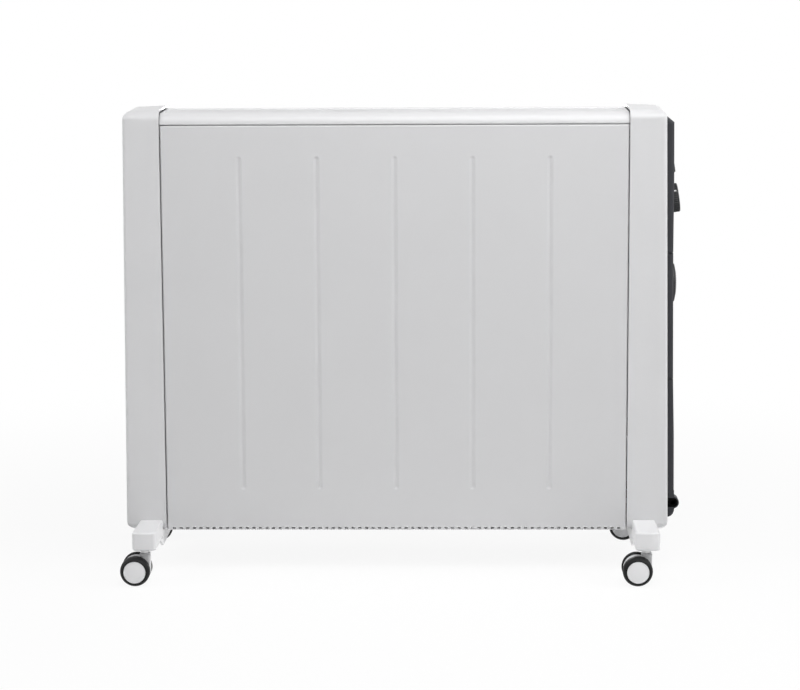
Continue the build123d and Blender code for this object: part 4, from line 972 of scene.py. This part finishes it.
class HEATER_OT_casters(bpy.types.Operator):
    """Builds the eight caster wheels and their hub caps."""

    bl_idname = "heater.casters"
    bl_label = "Casters"

    def execute(self, context):
        casters = context.scene.heater_casters
        colours = context.scene.heater_colours
        black = rolling_finish("wheel_tread", colours.wheel)
        white = moulded_finish("hub_cap", colours.hub_cap, roughness=0.30, grain=900.0, depth=0.00004)
        for corner in CORNERS:
            for side in ("outer", "inner"):
                wheel = f"{corner}_{side}_wheel"
                roll = joint(wheel + "_roll")
                outward = 1.0 if corner.startswith("rear") == (side == "outer") else -1.0
                frame_of = (roll["pos_m"], (0.0, 0.0, 1.0), outward * np.array(roll["axis"]))
                piece = put_placed(wheel + "_skin", wheel_skin(casters), frame_of, black)
                dress(piece, wheel, "wheel_plastic", wheel)
                hub_cap = f"{corner}_{side}_hub_cap"
                piece = put_placed(hub_cap + "_skin", hub_cap_skin(casters), frame_of, white)
                dress(piece, wheel, "hub_cap_moulding", hub_cap)
        return {"FINISHED"}


class HEATER_OT_finishes(bpy.types.Operator):
    """Gives every solid that still shows its finish."""

    bl_idname = "heater.finishes"
    bl_label = "Finishes"

    def execute(self, context):
        colours = context.scene.heater_colours
        slot_of = {part["node"]: part["material_slot"] for part in frame["record"]["subparts"]}
        # By slot: colour, roughness, features of the grain in a metre, depth of the grain, specular level if not 0.5.
        moulded = {
            "white_moulding": (colours.moulding, 0.36, 900.0, 0.00006),
            "foot_moulding": (colours.foot, 0.34, 900.0, 0.00006),
            "caster_moulding": (colours.moulding, 0.42, 900.0, 0.00006),
            "hub_cap_moulding": (colours.hub_cap, 0.30, 900.0, 0.00004),
            "dark_moulding": (colours.dark, 0.50, 1100.0, 0.00012, 0.12),
            "dark_knob": (colours.knob, 0.44, 1100.0, 0.00008),
            "dark_rocker": ((0.035, 0.035, 0.037), 0.30, 1100.0, 0.00004),
            # The gland's near-black colour and low specular level are partly painted shade for the deep cord mouth.
            "black_rubber": (colours.gland, 0.85, 700.0, 0.0001, 0.03),
            "phenolic": ((0.085, 0.066, 0.055), 0.45, 600.0, 0.0001),
        }
        # By slot: colour, roughness, how far the streaks are drawn together across the piece.
        metal = {
            "zinc_steel": ((0.60, 0.61, 0.62), 0.28, 3.0),
            "screw_steel": ((0.56, 0.56, 0.56), 0.22, 60.0),
            "brass": ((0.70, 0.52, 0.26), 0.22, 60.0),
        }
        finishes = {
            "white_enamel": enamel_finish("enamel", colours.enamel),
            "grille_enamel": enamel_finish("grille_enamel", colours.grille),
            "wheel_plastic": rolling_finish("wheel_plastic", colours.wheel),
            "core_paint": primer_finish("core_paint", (0.20, 0.20, 0.21)),
            "element_sheath": sheath_finish("element_sheath", (0.42, 0.40, 0.37)),
            **{slot: moulded_finish(slot, *look) for slot, look in moulded.items()},
            **{slot: metal_finish(slot, *look) for slot, look in metal.items()},
        }
        for node, slot in slot_of.items():
            paint(finishes[slot], node)
        return {"FINISHED"}


class HEATER_OT_stage(bpy.types.Operator):
    """Sets the floor, the soft lamps, the surrounding light and the camera."""

    bl_idname = "heater.stage"
    bl_label = "Stage"

    def execute(self, context):
        scene = context.scene
        scene.view_settings.view_transform = "Standard"
        self.floor()
        self.surround(scene)
        self.lamp("front_overhead", (0.25, -1.3, 2.2), (0.1, -1.0, 0.0), 1.6, 25.0)
        self.lamp("front_top", (0.35, -0.9, 1.25), (0.1, 0.0, 0.45), 0.9, 3.2)
        self.lamp("right_side", (1.9, -0.4, 1.5), (0.0, 0.0, 0.35), 1.2, 22.5)
        self.lamp("left_side", (-1.9, -0.6, 1.5), (0.0, 0.0, 0.35), 1.2, 16.2)
        self.lamp("behind", (0.2, 2.4, 0.3), (0.0, 0.0, 0.33), 0.5, 24.0)
        self.camera(scene)
        return {"FINISHED"}

    def floor(self):
        """Pale floor that reads white to the camera and keeps the heater's shadow."""
        finish = Finish("pale_floor")
        wire = finish.wire
        soft = wire.node("ShaderNodeBsdfDiffuse", None, {"Color": tint((0.90, 0.90, 0.90))})
        glow = wire.node("ShaderNodeEmission", None, {"Color": tint((1.0, 1.0, 1.0)), "Strength": 1.0})
        far = wire.node("ShaderNodeVectorMath", {"operation": "LENGTH"}, {0: finish.place}, output="Value")
        ends = {"Value": far, "From Min": 0.5, "From Max": 1.5, "To Min": 0.91, "To Max": 1.0}
        fade = wire.node("ShaderNodeMapRange", {"interpolation_type": "SMOOTHSTEP"}, ends)
        surface = wire.node("ShaderNodeMixShader", None, {0: seen_directly(wire) * fade, 1: soft, 2: glow})
        wire.node("ShaderNodeOutputMaterial", None, {"Surface": surface})
        reach = 30.0
        points = [(-reach, -reach, 0), (reach, -reach, 0), (reach, reach, 0), (-reach, reach, 0)]
        put_mesh("floor", points, [(0, 1, 2, 3)], finish.material)

    def surround(self, scene):
        """Even light from all round that the camera and reflections see as white."""
        scene.world = bpy.data.worlds.new("surround")
        scene.world.use_nodes = True
        tree = scene.world.node_tree
        tree.nodes.clear()
        wire = Wire(tree)
        level = 0.05
        inputs = {"Color": tint((1.0, 1.0, 1.0)), "Strength": level + (1.0 - level) * seen_directly(wire)}
        wire.node("ShaderNodeOutputWorld", None, {"Surface": wire.node("ShaderNodeBackground", None, inputs)})

    def lamp(self, name, place, target, size, power):
        """Soft square lamp turned to a target."""
        light = bpy.data.lights.new(name, "AREA")
        light.size = size
        light.energy = power
        lamp = bpy.data.objects.new(name, light)
        lamp.location = place
        lamp.rotation_euler = (Vector(target) - Vector(place)).to_track_quat("-Z", "Y").to_euler()
        bpy.context.scene.collection.objects.link(lamp)

    def camera(self, scene):
        """Camera with a long lens, a little above the heater and right of its middle, turned by yaw, pitch, roll."""
        place = (0.08061, -3.4135, 0.85188)
        yaw, pitch, roll = 0.0221, 0.15948, -0.0052
        across = Vector((math.cos(yaw), math.sin(yaw), 0.0))
        ahead = Vector((-math.sin(yaw) * math.cos(pitch), math.cos(yaw) * math.cos(pitch), -math.sin(pitch)))
        above = across.cross(ahead)
        right = math.cos(roll) * across + math.sin(roll) * above
        up = math.cos(roll) * above - math.sin(roll) * across
        lens = bpy.data.cameras.new("camera")
        lens.sensor_fit = "HORIZONTAL"
        lens.sensor_width = 36.0
        lens.lens = 113.39
        lens.clip_end = 100.0
        camera = bpy.data.objects.new("camera", lens)
        turn = Matrix((right, up, -ahead)).transposed().to_4x4()
        camera.matrix_world = Matrix.Translation(place) @ turn
        scene.collection.objects.link(camera)
        scene.camera = camera


class HEATER_PT_looks(bpy.types.Panel):
    """Lists the heater's pieces, sizes and colours in the sidebar."""

    bl_idname = "HEATER_PT_looks"
    bl_label = "Panel heater"
    bl_space_type = "VIEW_3D"
    bl_region_type = "UI"
    bl_category = "Heater"

    def draw(self, context):
        layout = self.layout
        scene = context.scene
        for setting in SETTINGS:
            group = getattr(scene, setting)
            column = layout.column()
            for name in group.__annotations__:
                column.prop(group, name)
        for operator in OPERATORS:
            layout.operator(operator.bl_idname)


OPERATORS = (HEATER_OT_finishes, HEATER_OT_panels, HEATER_OT_grille, HEATER_OT_end_caps, HEATER_OT_knob,
             HEATER_OT_dial, HEATER_OT_rockers, HEATER_OT_casters, HEATER_OT_stage)
SETTINGS = {"heater_casing": CasingSizes, "heater_controls": ControlSizes, "heater_casters": CasterSizes,
            "heater_colours": FinishColours}
CLASSES = (*SETTINGS.values(), *OPERATORS, HEATER_PT_looks)


def register():
    """Registers the classes and hangs the settings on the scene."""
    for item in CLASSES:
        bpy.utils.register_class(item)
    for name, group in SETTINGS.items():
        setattr(bpy.types.Scene, name, PointerProperty(type=group))


def unregister():
    """Takes the settings and the classes away again."""
    for name in SETTINGS:
        delattr(bpy.types.Scene, name)
    for item in reversed(CLASSES):
        bpy.utils.unregister_class(item)


def main():
    register()
    bpy.ops.heater.finishes()
    bpy.ops.heater.panels()
    bpy.ops.heater.grille()
    bpy.ops.heater.end_caps()
    bpy.ops.heater.knob()
    bpy.ops.heater.dial()
    bpy.ops.heater.rockers()
    bpy.ops.heater.casters()
    bpy.ops.heater.stage()


if __name__ == "__main__":
    main()
